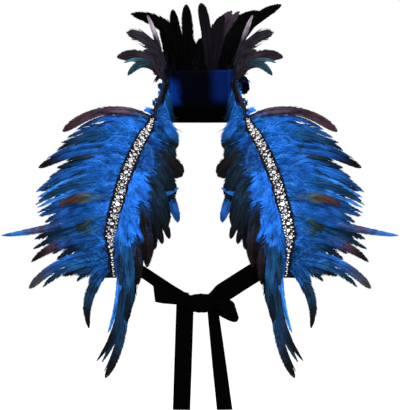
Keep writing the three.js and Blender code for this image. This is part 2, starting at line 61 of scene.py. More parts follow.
class Tone:
    """A value that varies over a surface. Sums on it add Math nodes to the material."""

    def __init__(self, tree, socket=None):
        self.tree = tree
        self.socket = socket

    def node(self, kind, settings, inputs, output=0):
        made = self.tree.nodes.new(kind)
        for setting, value in settings.items():
            setattr(made, setting, value)
        for name, value in inputs.items():
            if isinstance(value, Tone):
                self.tree.links.new(value.socket, made.inputs[name])
            else:
                made.inputs[name].default_value = value
        return Tone(self.tree, made.outputs[output] if made.outputs else None)

    def sum(self, operation, first, second):
        return self.node("ShaderNodeMath", {"operation": operation}, {0: first, 1: second})

    def __add__(self, other):
        return self.sum("ADD", self, other)

    def __sub__(self, other):
        return self.sum("SUBTRACT", self, other)

    def __rsub__(self, other):
        return self.sum("SUBTRACT", other, self)

    def __mul__(self, other):
        return self.sum("MULTIPLY", self, other)

    __radd__ = __add__
    __rmul__ = __mul__

    def step(self, low, high):
        """0 below low and 1 above high, with a smooth change between them."""
        ends = {"Value": self, "From Min": low, "From Max": high}
        return self.node("ShaderNodeMapRange", {"interpolation_type": "SMOOTHSTEP"}, ends)

    def mix(self, first, second):
        """The first colour where the value is 0 and the second where it is 1."""
        return self.node("ShaderNodeMix", {"data_type": "RGBA"}, {0: self, 6: first, 7: second}, 2)

    def times(self, colour, value):
        """The colour made lighter or darker by the value."""
        mixing = {"data_type": "RGBA", "blend_type": "MULTIPLY"}
        return self.node("ShaderNodeMix", mixing, {0: 1.0, 6: colour, 7: value}, 2)

    def painted(self, name, output="Fac"):
        """What the mesh holds under that name at each of its points."""
        return self.node("ShaderNodeAttribute", {"attribute_name": name}, {}, output)

    def noise(self, place, scale, detail=2.0):
        ends = {"Vector": place, "Scale": scale, "Detail": detail}
        return self.node("ShaderNodeTexNoise", {}, ends, "Fac")

    def mottle(self, size, detail=2.0):
        """Soft cloudy change, with patches of about that size."""
        place = self.node("ShaderNodeTexCoord", {}, {}, "Object")
        return self.noise(place, 1 / size, detail)

    def relief(self, height, depth):
        """The surface's normal with that height pressed into it."""
        press = {"Height": height, "Strength": 1.0, "Distance": depth}
        return self.node("ShaderNodeBump", {}, press, "Normal")


def finish(name, paint):
    """A material whose paint function gives the sockets of its shader."""
    material = bpy.data.materials.new(name)
    material.use_nodes = True
    material.node_tree.nodes.clear()
    start = Tone(material.node_tree)
    shader = start.node("ShaderNodeBsdfPrincipled", {}, paint(start), "BSDF")
    start.node("ShaderNodeOutputMaterial", {}, {"Surface": shader})
    return material


def stand(name, data):
    """An object in the scene with this mesh, light or camera."""
    made = bpy.data.objects.new(name, data)
    bpy.context.scene.collection.objects.link(made)
    return made


def piece(name, points, faces, material, smooth=True, normals=None):
    """A mesh object from arrays of points and faces, which rides on the cape's one body."""
    corners = faces.shape[1]
    mesh = bpy.data.meshes.new(name)
    mesh.vertices.add(len(points))
    mesh.vertices.foreach_set("co", points.astype(np.float32).ravel())
    mesh.loops.add(faces.size)
    mesh.loops.foreach_set("vertex_index", faces.astype(np.int32).ravel())
    mesh.polygons.add(len(faces))
    mesh.polygons.foreach_set("loop_start", np.arange(0, faces.size, corners, dtype=np.int32))
    mesh.polygons.foreach_set("use_smooth", np.full(len(faces), smooth))
    mesh.update(calc_edges=True)
    if normals is not None:
        mesh.normals_split_custom_set_from_vertices(normals.tolist())
    mesh.materials.append(material)
    made = stand(name, mesh)
    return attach(made, "root")


def paint_points(made, name, values):
    """Keeps a number or a colour for each point of a piece's mesh."""
    values = np.asarray(values, np.float32)
    if values.ndim == 1:
        made.data.attributes.new(name, "FLOAT", "POINT").data.foreach_set("value", values)
    else:
        solid = np.column_stack([values, np.ones(len(values), np.float32)])
        made.data.attributes.new(name, "FLOAT_COLOR", "POINT").data.foreach_set("color", solid.ravel())


def cloth(name, grid, thick, material):
    """A closed sheet of cloth round a grid of points on its middle. Its threads follow the grid."""
    lengthwise = np.gradient(grid, axis=0)
    crosswise = np.gradient(grid, axis=1)
    out = np.cross(lengthwise, crosswise)
    out *= thick / 2 / np.linalg.norm(out, axis=2, keepdims=True)
    rows, columns = grid.shape[:2]
    half = rows * columns
    index = np.arange(half).reshape(rows, columns)
    face = np.stack([index[:-1, :-1], index[1:, :-1], index[1:, 1:], index[:-1, 1:]], -1).reshape(-1, 4)
    rim = np.concatenate([index[:-1, 0], index[-1, :-1], index[:0:-1, -1], index[0, :0:-1]])
    after = np.roll(rim, -1)
    edge = np.stack([after, rim, rim + half, after + half], -1)
    points = np.concatenate([(grid + out).reshape(-1, 3), (grid - out).reshape(-1, 3)])
    made = piece(name, points, np.concatenate([face, face[:, ::-1] + half, edge]), material)
    run = np.cumsum(np.linalg.norm(lengthwise, axis=2), axis=0).ravel()
    over = np.cumsum(np.linalg.norm(crosswise, axis=2), axis=1).ravel()
    paint_points(made, "run", np.tile(run, 2))
    paint_points(made, "over", np.tile(over, 2))
    return made


def threads(start, pitch):
    """The height of fine threads that run across a cloth, one each pitch along it."""
    run = start.painted("run") * (2 * np.pi / pitch)
    return start.node("ShaderNodeMath", {"operation": "SINE"}, {0: run + start.mottle(4 * MM) * 1.5})


def collar_wall(low, high, columns):
    """A grid on the collar's middle surface between two heights."""
    turn = np.linspace(-COLLAR_REACH, COLLAR_REACH, STEPS_ROUND_NECK)[:, None]
    height = np.linspace(low, high, columns)[None, :]
    ease = COLLAR_EASE * np.sin(COLLAR_WAVES * turn) * np.sin(np.pi * (height - low) / (high - low))
    radius = NECK_RADIUS + COLLAR_FLARE * height / COLLAR_TOP + COLLAR_THICK / 2 + ease
    return np.stack([radius * np.sin(turn), radius * np.cos(turn), height + 0 * turn], -1)


def navy_satin(start):
    run, over = start.painted("run"), start.painted("over")
    # Painted sheen: royal blue to the right and the lower left of the back's middle, fading out at the
    # foot; near black painted shade between
    aside = run - COLLAR_MIDDLE + start.mottle(9 * MM) * (10 * MM) - 5 * MM
    right = aside.step(18 * MM, 40 * MM) * over.step(2 * MM, 22 * MM) * LIGHT_ON_RIGHT
    left = (0 - aside).step(20 * MM, 40 * MM) * (1 - over.step(28 * MM, 54 * MM)) * LIGHT_ON_LEFT
    lit = (right + left) * over.step(0, 16 * MM)
    return {
        "Base Color": lit.mix(NAVY, NAVY_LIT),
        "Roughness": 0.42 + start.mottle(3 * MM) * 0.16,
        "Specular IOR Level": 0.02,
        "Normal": start.relief(threads(start, 0.5 * MM), 0.05 * MM),
    }


NAVY_SATIN = finish("navy_satin", navy_satin)
collar_grid = collar_wall(COLLAR_FOOT, COLLAR_TOP, STEPS_UP_COLLAR)
collar = cloth("collar_satin", collar_grid, COLLAR_THICK, NAVY_SATIN)
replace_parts(collar, "collar")

# Neckband: a black velvet ribbon, 25 mm wide, that binds the foot of the collar and lies round the
# neck. It is folded over the collar's edge and sewn through.
BAND_TOP = 25 * MM
STEPS_UP_BAND = 9
BLACK = (0.0003, 0.0003, 0.0004, 1)
BLACK_LIT = (0.0010, 0.0010, 0.0012, 1)


def black_velvet(start):
    pile = start.mottle(0.9 * MM, 3.0)
    return {
        "Base Color": pile.mix(BLACK, BLACK_LIT),
        "Roughness": 0.72 + pile * 0.2,
        "Specular IOR Level": 0.001,
        "Normal": start.relief(threads(start, 0.7 * MM) * 0.5 + pile, 0.08 * MM),
    }


BLACK_VELVET = finish("black_velvet", black_velvet)
band_grid = collar_wall(0, BAND_TOP, STEPS_UP_BAND)
band = cloth("neckband_ribbon", band_grid, COLLAR_THICK, BLACK_VELVET)
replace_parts(band, "neckband")

# Fringe tapes: two black twill tapes down each wing, side by side under the crystal trim. The feathers'
# quills are sewn to them in rows, and they give the wing its line over the shoulder and the chest.
TAPE_REACHES = np.array([(0, 8), (0.16, 9), (0.25, 13), (1, 13)])
TAPE_SEAM = 0.15 * MM
TAPE_THICK = 1.6 * MM
TAPE_STEPS = 90
TAPE_STEPS_ACROSS = 5
TAPE_BLACK = (0.0010, 0.0010, 0.0020, 1)
TAPE_RIB = (0.0030, 0.0026, 0.0050, 1)
# x, y and z of the trim's middle line on the left wing in millimetres, and the degrees by which the
# wing's outer side turns back there
TRIM_LINE = np.array([
    (-51.9, -32.4, 62, 58),
    (-71.5, -45, 3, 34),
    (-87.5, -58, -26, 24),
    (-106, -75, -63.5, 20),
    (-119.3, -86, -101, 19),
    (-129.3, -92.5, -138, 18),
    (-136.7, -95, -175, 16),
    (-138, -94, -206, 15),
    (-135.5, -90, -240, 14),
])
SPLINE_STEPS = 32
MIRROR = np.array([-1.0, 1.0, 1.0])
SIDES = (("left", np.ones(3)), ("right", MIRROR))


def unit(vectors):
    return vectors / np.linalg.norm(vectors, axis=-1, keepdims=True)


def spline(points):
    """A smooth line through the points, as many short steps."""
    points = np.asarray(points, float)
    ends = np.vstack([2 * points[0] - points[1], points, 2 * points[-1] - points[-2]])
    gaps = np.sqrt(np.linalg.norm(np.diff(ends, axis=0), axis=1))
    s = np.arange(SPLINE_STEPS)[:, None] / SPLINE_STEPS
    line = []
    for k in range(len(points) - 1):
        a, b, c, d = ends[k : k + 4]
        before, here, after = gaps[k : k + 3]
        leave = ((b - a) / before - (c - a) / (before + here) + (c - b) / here) * here
        reach = ((c - b) / here - (d - b) / (here + after) + (d - c) / after) * here
        bend = 3 * (c - b) - 2 * leave - reach
        twist = 2 * (b - c) + leave + reach
        line.append(b + leave * s + bend * s**2 + twist * s**3)
    return np.vstack([*line, points[-1:]])


def along(line, at):
    """Points of a line at shares of its length, its direction there, and the share of its steps."""
    run = np.concatenate([[0], np.cumsum(np.linalg.norm(np.diff(line, axis=0), axis=1))])
    share = np.interp(np.asarray(at) * run[-1], run, np.linspace(0, 1, len(line)))
    steps = np.linspace(0, 1, len(line))
    heading = np.gradient(line, axis=0)
    read = lambda table: np.stack([np.interp(share, steps, table[:, k]) for k in range(3)], -1)
    return read(line), unit(read(heading)), share


trim_line = spline(TRIM_LINE[:, :3] * MM)


def wing_seat(at):
    """Points of the trim's middle line, and the wing's directions there: out, down and face."""
    point, down, share = along(trim_line, at)
    fall = np.radians(np.interp(share, np.linspace(0, 1, len(TRIM_LINE)), TRIM_LINE[:, 3]))
    out = np.stack([-np.cos(fall), np.sin(fall), 0 * fall], -1)
    out = unit(out - down * np.sum(out * down, -1, keepdims=True))
    return point, out, down, np.cross(out, down)


def by_place(table, at):
    """The length that a table gives in millimetres, at places down the trim."""
    return np.interp(at, table[:, 0], table[:, 1]) * MM


def twill_tape(start):
    rib = threads(start, 1.1 * MM)
    return {
        "Base Color": rib.step(-1, 1).mix(TAPE_BLACK, TAPE_RIB),
        "Roughness": 0.7 + rib * 0.06,
        "Specular IOR Level": 0.03,
        "Normal": start.relief(rib, 0.12 * MM),
    }


TWILL_TAPE = finish("twill_tape", twill_tape)
tape_at = np.linspace(0, 1, TAPE_STEPS)
tape_point, tape_out, _, _ = wing_seat(tape_at)
tape_reach = by_place(TAPE_REACHES, tape_at)
tape_seam = np.full(TAPE_STEPS, TAPE_SEAM)
for fringe_name, fringe_side in (("outer", 1), ("inner", -1)):
    offsets = fringe_side * np.linspace(tape_seam, tape_reach, TAPE_STEPS_ACROSS, axis=1)
    strip = tape_point[:, None] + tape_out[:, None] * offsets[..., None]
    for side_name, mirror in SIDES:
        tape_name = f"{fringe_name}_tape_{side_name}"
        tape = cloth(tape_name, strip * mirror, TAPE_THICK, TWILL_TAPE)

# Outer feathers: rooster feathers dyed royal blue, sewn along the outer tape. Their long ends lie out over
# the shoulder and keep dark, purple-brown and black tips. Shorter downy ones cover the quills.
# The quills' seam in millimetres from the middle of the trim, at places down it
SEAM_LINE = np.array([(0, 4.6), (0.16, 4.8), (0.26, 10), (0.8, 10), (0.88, 5.5), (1, 4)])
SEAM_LIFT = 0.9 * MM
# How far the trim and both seams lie off the tapes' middle near the foot, in millimetres
TRIM_SHIFTS = np.array([(0, 0), (0.8, 0), (0.92, -4), (1, -4.5)])
VANE_PITCH = 1.5 * MM
DOWN_PITCH = 1.1 * MM
# The share of a barb's width at each step along it, in the vane and in the down
VANE_TAPER = np.array([0.8, 1.0, 0.95, 0.3])
DOWN_TAPER = np.array([0.7, 1.0, 1.0, 0.8, 0.3])
DOWN_HALF_WIDTH = 0.38 * MM
# The down's lean to the quill in degrees, and how much of it changes by lock and by barb
DOWN_LEAN, DOWN_LEAN_BY_LOCK, DOWN_LEAN_BY_BARB = 40, 10, 7
DOWN_LEAN_LIMITS = (0.48, 1.4)
# The down's lift off the vane as a share of its spread: all of it, by lock and by barb
DOWN_RISE, DOWN_RISE_BY_LOCK, DOWN_RISE_BY_BARB = 0.06, 0.14, 0.07
DOWN_SPREADS = (0.45, 1.1)
DOWN_WAVE = 0.10
DOWN_TURN = 0.9
VANE_LEAN_LIMITS = (7, 62)
VANE_LEAN_BY_BARB = 0.07
VANE_RUFFLE = 0.12
VANE_UNEVEN = 0.25 * MM
VANE_OVERLAP = 1.05
VANE_ROUNDING = 0.55
# A barb bends to the tip: these are the powers of the share along it, beside the quill and forward
BARB_BESIDE, BARB_FORWARD = 0.92, 1.25
LOCKS = 7
LOCK_PLACES = (0.08, 0.98)
LOCK_GAPE = 0.05
LOCK_SHADE = 0.6
CAMBER = 0.16
BARB_CLOSENESS = 1.6
OUTLINE_HALVINGS = 12
QUILL_STEPS = 10
# Places along and across the closed leaf of a vane
LEAF_ALONG = np.array([0, 0.12, 0.26, 0.4, 0.54, 0.68, 0.8, 0.9, 0.97])
LEAF_ACROSS = np.array([-1, -0.55, 0, 0.55, 1])
LEAF_DROP = 0.35 * MM
TILES_WIDE = 4
# Each tint has the colour of the down at the quill's root, of the vane and of the tip, in thousandths.
TINTS = {
    "royal": ((8, 98, 430), (6, 68, 300), (4, 32, 115)),
    "bright": ((14, 135, 560), (10, 112, 490), (8, 85, 360)),
    "azure": ((19, 190, 880), (14, 158, 770), (10, 117, 570)),
    "sky": ((8, 98, 430), (9, 88, 340), (18, 125, 400)),
    "teal": ((5, 66, 270), (4, 34, 98), (3, 15, 32)),
    "deep": ((3, 18, 62), (2, 8, 17), (1.5, 4, 6)),
    "black": ((5, 56, 220), (3, 16, 40), (2, 2, 3)),
    "purple": ((10, 16, 40), (36, 23, 36), (30, 13, 21)),
    "earth": ((12, 70, 220), (30, 42, 26), (34, 14, 14)),
    "moss": ((6, 60, 230), (9, 24, 28), (8, 13, 9)),
    "plum": ((7, 66, 260), (34, 12, 20), (4, 3, 4)),
    "grey": ((8, 70, 270), (6, 55, 220), (22, 22, 24)),
    "dipped": ((8, 98, 430), (6, 60, 250), (3, 2, 3)),
    "long": ((8, 85, 340), (36, 24, 30), (8, 65, 240)),
}
# Each style has the barbs' angle to the quill in degrees, how blunt the tip is, the downy share of the
# quill, the closed share of the vane's width, the share of that width at the root and the place along the
# quill where it is full, the width of the down as a share of the vane's, and where the tip's colour starts.
STYLES = {
    "vane": (33, 4, 0.20, 0.88, 0.5, 0.35, 0.8, 0.68),
    "round": (40, 14, 0.12, 0.94, 0.5, 0.35, 0.6, 0.60),
    "disc": (44, 9, 0.12, 0.98, 0.4, 0.74, 0.6, 0.50),
    "lobe": (26, 7, 0.20, 0.90, 0.5, 0.50, 0.9, 0.68),
    "oar": (24, 12, 0.20, 0.90, 0.5, 0.35, 0.9, 0.72),
    "sabre": (30, 14, 0.10, 0.92, 0.5, 0.85, 0.6, 0.68),
    "hackle": (17, 2, 0.30, 0.60, 0.5, 0.35, 1.0, 0.68),
    "streaked": (17, 2.4, 0.22, 0.70, 0.5, 0.35, 0.9, 0.48),
    "blade": (16, 2.4, 0.20, 0.86, 0.5, 0.35, 0.9, 0.68),
    "tail": (18, 2.8, 0.50, 0.86, 0.5, 0.35, 0.9, 0.74),
    "plush": (30, 6, 0.45, 0.88, 0.5, 0.35, 0.9, 0.80),
    "soft": (24, 2.5, 0.50, 0.70, 0.5, 0.35, 1.0, 0.75),
    "tuft": (36, 2.5, 0.95, 0.60, 0.5, 0.35, 1.1, 0.95),
}
# Each row has the root's place down the trim, the tip in millimetres, the height of the quill's arch in
# the vane and off the chest, the vane's width, how ragged its edge is, its style and its tint.
OUTER_ROWS = [
    (0.03, -66, -26, 57, 2, 1, 13, 0.3, "blade", "teal"),
    (0.07, -65, -30, 48, 2, 1, 10, 0.3, "blade", "sky"),
    (0.11, -70, -34, 37, 2, 1, 9, 0.3, "blade", "teal"),
    (0.17, -87, -36, 18, 4, 2, 13, 0.3, "soft", "bright"),
    (0.25, -206, -14, -24, 14, 3, 26, 0.4, "hackle", "royal"),
    (0.31, -222, -16, -44, 12, 9, 26, 0.4, "hackle", "teal"),
    (0.46, -254, -24, -108, 14, 4, 28, 0.5, "hackle", "royal"),
    (0.55, -250, -27, -122, 8, 10, 28, 0.6, "hackle", "teal"),
    (0.62, -249, -32, -145, 4, 4, 28, 0.6, "hackle", "royal"),
    (0.67, -238, -36, -162, 3, 6, 26, 0.5, "hackle", "royal"),
    (0.74, -242, -40, -186, 5, 4, 30, 0.5, "hackle", "teal"),
    (0.8, -228, -46, -204, 8, 6, 22, 0.4, "hackle", "teal"),
    (0.86, -200, -58, -226, 8, 5, 22, 0.4, "hackle", "teal"),
    (0.95, -212, -62, -238, 6, 5, 24, 0.6, "hackle", "black"),
]
# Longer ones that stand out beyond the rest, and shorter ones with colours of their own
OUTER_ACCENTS = [
    (0.19, -213, -8, -14, 22, 8, 21, 0.3, "sabre", "purple"),
    (0.18, -160, -16, 16, 4, 10, 12, 0.1, "vane", "purple"),
    (0.22, -192, -14, -12, 16, 4, 18, 0.3, "hackle", "royal"),
    (0.34, -237, -18, -56, 12, 6, 15, 0.3, "hackle", "royal"),
    (0.37, -250, -18, -70, 14, 4, 18, 0.1, "oar", "dipped"),
    (0.50, -252, -26, -117, 10, 6, 15, 0.9, "hackle", "sky"),
    (0.52, -255, -28, -128, 8, 5, 14, 0.8, "hackle", "royal"),
    (0.625, -226, -38, -132, 3, 19, 19, 0.3, "streaked", "earth"),
    (0.58, -252, -30, -132, 6, 8, 16, 0.9, "hackle", "sky"),
    (0.60, -252, -32, -140, 5, 5, 15, 0.8, "hackle", "royal"),
    (0.64, -240, -36, -155, 6, 6, 28, 0.4, "hackle", "royal"),
    (0.68, -307, -34, -175, -8, 9, 15, 0.1, "tail", "long"),
    (0.71, -210, -48, -188, 4, 17, 16, 0.3, "streaked", "moss"),
    (0.76, -204, -50, -200, 5, 16, 14, 0.3, "streaked", "moss"),
    (0.72, -256, -40, -181, 4, 6, 26, 0.4, "hackle", "teal"),
    (0.76, -258, -42, -196, 6, 6, 18, 0.3, "hackle", "teal"),
    (0.8, -261, -44, -216, 10, 11, 20, 0.2, "tail", "plum"),
    (0.84, -222, -48, -213, 8, 6, 22, 0.4, "hackle", "teal"),
    (0.88, -264, -52, -257, 15, 1, 15, 0.1, "oar", "grey"),
    (0.91, -243, -54, -255, 12, 10, 18, 0.4, "hackle", "teal"),
    (0.94, -190, -66, -246, 7, 5, 20, 0.5, "hackle", "teal"),
    (0.93, -168, -78, -264, 10, 5, 18, 0.3, "hackle", "teal"),
    (0.95, -171, -84, -318, 16, 4, 20, 0.2, "blade", "black"),
]
# Each layer has how many feathers it has, its first and last place down the trim, the share of the long
# feathers' reach, the rise and the width of its own feathers, their style and their tints.
OUTER_LAYERS = [
    (18, 0.23, 0.72, 0.90, -3, 23, "hackle", ("royal", "teal", "royal", "sky", "teal", "black")),
    (20, 0.23, 0.74, 0.72, 4, 24, "hackle", ("royal", "teal", "royal", "moss")),
    (20, 0.23, 0.76, 0.54, 6, 26, "soft", ("royal", "bright", "royal", "teal")),
    (8, 0.74, 0.93, 0.88, -3, 22, "hackle", ("teal", "black", "deep")),
    (10, 0.76, 0.94, 0.72, 4, 24, "hackle", ("teal", "deep", "moss", "teal")),
    (9, 0.77, 0.95, 0.54, 6, 26, "soft", ("teal", "deep", "teal", "deep")),
    (24, 0.21, 0.76, 0.32, 6, 28, "tuft", ("bright", "royal", "bright")),
    (8, 0.77, 0.95, 0.32, 6, 26, "tuft", ("teal", "royal", "deep")),
    (6, 0.02, 0.18, 0.55, 2, 9, "soft", ("teal", "royal", "deep")),
]


# By chance a filling feather strays from its place by a share of the pitch, its tip in height, its bow and
# its rise by millimetres, and its length, width and raggedness lie within these limits.
FILL_STRAY, FILL_TIP_STRAY, FILL_BOW_STRAY, FILL_RISE_STRAY = 0.4, 6, 3, 2
FILL_LENGTHS, FILL_WIDTHS, FILL_RAGGED = (0.86, 1.1), (0.8, 1.2), (0.25, 0.6)


def smoothstep(low, high, x):
    t = np.clip((x - low) / (high - low), 0, 1)
    return t * t * (3 - 2 * t)


def styled(table, names):
    """The table with the numbers of each feather's style."""
    numbers = np.array([STYLES[name] for name in names], float)
    columns = ("lean", "blunt", "downy", "closed", "opening", "opens", "down", "ripens")
    for k, column in enumerate(columns):
        table[column] = numbers[:, k]
    table["down"] = table["down"] * table["width"]
    return table


def tinted(names):
    return np.array([TINTS[name] for name in names]) / 1000


def long_feathers(rows):
    """The rows of a table as named arrays."""
    numbers = np.array([row[:8] for row in rows], float)
    names = ("at", "x", "y", "z", "bow", "rise", "width", "ragged")
    table = {name: numbers[:, k] for k, name in enumerate(names)}
    table["tint"] = tinted(row[9] for row in rows)
    return styled(table, [row[8] for row in rows])


def filling_feathers(long, layers, root_at, rng):
    """Layers of shorter feathers that lie between the long ones and follow their lines."""
    tables = []
    for count, first, last, share, rise, width, style, tints in layers:
        stray = rng.uniform(-FILL_STRAY, FILL_STRAY, count)
        at = np.linspace(first, last, count) + stray * (last - first) / count
        row = {name: np.interp(at, long["at"], long[name]) for name in ("x", "y", "z", "bow")}
        root, face = root_at(at)
        chord = np.stack([row[name] for name in "xyz"], -1) * MM - root
        part = share * rng.uniform(*FILL_LENGTHS, count)
        arch = 4 * row["bow"] * part * np.maximum(0, 1 - part) * MM
        tip = root + chord * part[:, None] + unit(np.cross(chord, face)) * arch[:, None]
        row["x"], row["y"], row["z"] = tip.T / MM
        row["z"] += rng.uniform(-FILL_TIP_STRAY, FILL_TIP_STRAY, count)
        row["bow"] = row["bow"] * part**2 + rng.uniform(-FILL_BOW_STRAY, FILL_BOW_STRAY, count)
        row["rise"] = rise + rng.uniform(-FILL_RISE_STRAY, FILL_RISE_STRAY, count)
        row["width"] = width * rng.uniform(*FILL_WIDTHS, count)
        row["ragged"] = rng.uniform(*FILL_RAGGED, count)
        row["tint"] = tinted(tints[k] for k in rng.integers(0, len(tints), count))
        tables.append(styled({"at": at, **row}, [style] * count))
    return tables


def rooted(tables, root_at):
    """All the feathers of some tables with their quills, as arched lines with four handles each."""
    f = {name: np.concatenate([table[name] for table in tables]) for name in tables[0]}
    f["root"], f["face"] = root_at(f["at"])
    tip = np.stack([f["x"], f["y"], f["z"]], -1) * MM
    chord = tip - f["root"]
    f["length"] = np.linalg.norm(chord, axis=1)
    arch = unit(np.cross(chord, f["face"])) * f["bow"][:, None] + f["face"] * f["rise"][:, None]
    arch *= 4 / 3 * MM
    near, far = f["root"] + chord / 3 + arch, f["root"] + chord * 2 / 3 + arch
    f["handles"] = np.stack([f["root"], near, far, tip], 1)
    return f


def dressed(rows, accents, layers, root_at, seed):
    """A tape's long feathers, those that stand out and the layers between them, all rooted on it."""
    long = long_feathers(rows)
    fill = filling_feathers(long, layers, root_at, np.random.default_rng(seed))
    return rooted([long, long_feathers(accents), *fill], root_at)


def on_quill(f, which, u):
    """Points on the quills of the feathers, and the vane's directions there: heading, side and top."""
    a, b, c, d = np.moveaxis(f["handles"][which], 1, 0)[:, :, None, :]
    over = np.maximum(u - 1, 0)[..., None]
    u = np.minimum(u, 1)[..., None]
    point = a * (1 - u) ** 3 + 3 * b * u * (1 - u) ** 2 + 3 * c * u**2 * (1 - u) + d * u**3
    heading = unit((b - a) * (1 - u) ** 2 + 2 * (c - b) * u * (1 - u) + (d - c) * u**2)
    side = unit(np.cross(heading, f["face"][which][:, None, :]))
    point = point + heading * over * f["length"][which][:, None, None]
    return point, heading, side, np.cross(side, heading)


def half_width(f, which, u):
    """Half of the vane's width along the quill."""
    u = np.clip(u, 0, 1)
    opening, opens, blunt = (f[name][which] for name in ("opening", "opens", "blunt"))
    open_share = opening + (1 - opening) * np.minimum(1, u / opens)
    return f["width"][which] / 2 * MM * open_share * (1 - u**blunt) ** VANE_ROUNDING


def strips(points, normals, u, v, **values):
    """Arrays for strips whose points go by barb or feather, then along it, then across it."""
    index = np.arange(points.size // 3).reshape(points.shape[:3])
    near, far = index[:, :-1], index[:, 1:]
    faces = np.stack([near[..., :-1], near[..., 1:], far[..., 1:], far[..., :-1]], -1)
    fill = lambda value: np.broadcast_to(value, index.shape).ravel()
    return {
        "points": points.reshape(-1, 3),
        "normals": normals.reshape(-1, 3),
        "faces": faces.reshape(-1, 4),
        "uv": np.stack([fill(u), fill(v)], -1),
        **{name: fill(value) for name, value in values.items()},
    }


def barbs(f, first, last, pitch, loose, rng):
    """Both sides' barbs from one share of each quill to another, as thin ribbons. Loose ones are down.
    Neighbours hang together in locks, which have their own lift and shade."""
    taper = DOWN_TAPER if loose else VANE_TAPER
    steps = np.linspace(0, 1, len(taper))[None, :]
    count = np.maximum(2, np.ceil(f["length"] * (last - first) / pitch)).astype(int)
    which = np.repeat(np.arange(len(count)), count)
    order = np.arange(len(which)) - np.repeat(np.cumsum(count) - count, count)
    side = np.repeat([1.0, -1.0], len(which))
    which, order = np.tile(which, 2), np.tile(order, 2)
    hand = (side < 0).astype(int)
    total = len(which)
    u = first[which] + (last - first)[which] * (order + rng.uniform(0.2, 0.8, total)) / count[which]
    splits = rng.uniform(*LOCK_PLACES, (2, len(count), LOCKS))
    away = splits[hand, which] - u[:, None]
    lock = np.sum(away < 0, 1)
    of_lock = lambda draw: draw(size=(2, len(count), LOCKS + 1))[hand, which, lock]
    shade = LOCK_SHADE * of_lock(rng.random) + (1 - LOCK_SHADE) * rng.random(total)
    lock_lift = of_lock(rng.standard_normal)
    if loose:
        lean = DOWN_LEAN + DOWN_LEAN_BY_LOCK * of_lock(rng.standard_normal)
        lean = np.radians(lean + DOWN_LEAN_BY_BARB * rng.standard_normal(total))
        spread = f["down"][which] / 2 * MM * rng.uniform(*DOWN_SPREADS, total)
        spread = spread * np.minimum(1, 0.5 + u / 0.2)
        forward = spread / np.tan(np.clip(lean, *DOWN_LEAN_LIMITS))
        half = DOWN_HALF_WIDTH * rng.uniform(0.7, 1.3, total)
    else:
        gape = rng.uniform(0, 0.4, splits.shape)[hand, which] * (0.1 + 1.5 * f["ragged"])[which, None]
        part = np.sum(gape * np.sign(away) * np.exp(-np.abs(away) / LOCK_GAPE), 1)
        lean = f["lean"][which] * (1 + part) * rng.normal(1, VANE_LEAN_BY_BARB, total)
        lean = np.radians(np.clip(lean, *VANE_LEAN_LIMITS))
        spread = step = f["width"][which] / 4 * MM
        for _ in range(OUTLINE_HALVINGS):
            step = step / 2
            inside = half_width(f, which, u + spread / np.tan(lean) / f["length"][which]) > spread
            spread = spread + np.where(inside, step, -step)
        forward = spread / np.tan(lean)
        trimmed = 1 - f["ragged"][which] * rng.uniform(0, 1, total) ** 3
        spread, forward = spread * trimmed, forward * trimmed
        half = VANE_OVERLAP * pitch * np.sin(lean)
    beside = spread[:, None] * steps**BARB_BESIDE
    place = u[:, None] + forward[:, None] * steps**BARB_FORWARD / f["length"][which][:, None]
    point, heading, across, top = on_quill(f, which, place)
    if loose:
        phase = rng.uniform(0, 2 * np.pi, (2, total, 1))
        wave = DOWN_WAVE * spread[:, None] * steps
        rise = DOWN_RISE + DOWN_RISE_BY_LOCK * lock_lift + rng.normal(0, DOWN_RISE_BY_BARB, total)
        lift = (rise * spread)[:, None] * steps**1.4 + wave * np.sin(4.5 * steps + phase[0])
        onward = wave * np.sin(5.5 * steps + phase[1])
        turn = rng.uniform(-DOWN_TURN, DOWN_TURN, total)[:, None, None]
    else:
        ruffle = VANE_RUFFLE * f["ragged"][which] * lock_lift * spread + rng.normal(0, VANE_UNEVEN, total)
        lift = -CAMBER * beside + ruffle[:, None] * steps**1.5
        onward = 0 * steps
        turn = np.zeros((total, 1, 1))
    aside = side[:, None] * beside
    middle = point + across * aside[..., None] + top * lift[..., None] + heading * onward[..., None]
    direction = unit(np.gradient(middle, axis=1))
    flat = unit(np.cross(direction, top))
    edge = flat * np.cos(turn) + np.cross(direction, flat) * np.sin(turn)
    normal = unit(np.cross(edge, direction) + BARB_CLOSENESS * top)
    edge = edge * (half[:, None] * taper)[..., None]
    tile_u = u[:, None] + np.array([-0.45, 0.45]) * ((last - first) / count)[which][:, None]
    tile_v = 0.5 + side[:, None] * ((0.27 if loose else 0.02) + 0.2 * steps)
    return strips(
        np.stack([middle - edge, middle + edge], 2), np.repeat(normal[:, :, None], 2, axis=2),
        np.clip(tile_u, 0, 1)[:, None, :], tile_v[..., None],
        which=which[:, None, None], along=place[..., None], across=aside[..., None],
        shade=shade[:, None, None], loose=float(loose),
    )


def shafts(f, thick):
    """The quills as slender ridged strips."""
    along_quill = np.linspace(0, 1, QUILL_STEPS)
    which = np.arange(len(f["length"]))
    point, _, side, top = on_quill(f, which, np.tile(along_quill, (len(which), 1)))
    half = (thick * (1 - 0.85 * along_quill))[None, :, None]
    points = np.stack([point + side * half, point + top * half, point - side * half], 2)
    normals = unit(np.stack([top + side, top, top - side], 2))
    u = along_quill[None, :, None]
    return strips(points, normals, u, np.array([0.49, 0.5, 0.51]), which=which[:, None, None],
                  along=u, across=0.0, shade=0.2, loose=0.0)


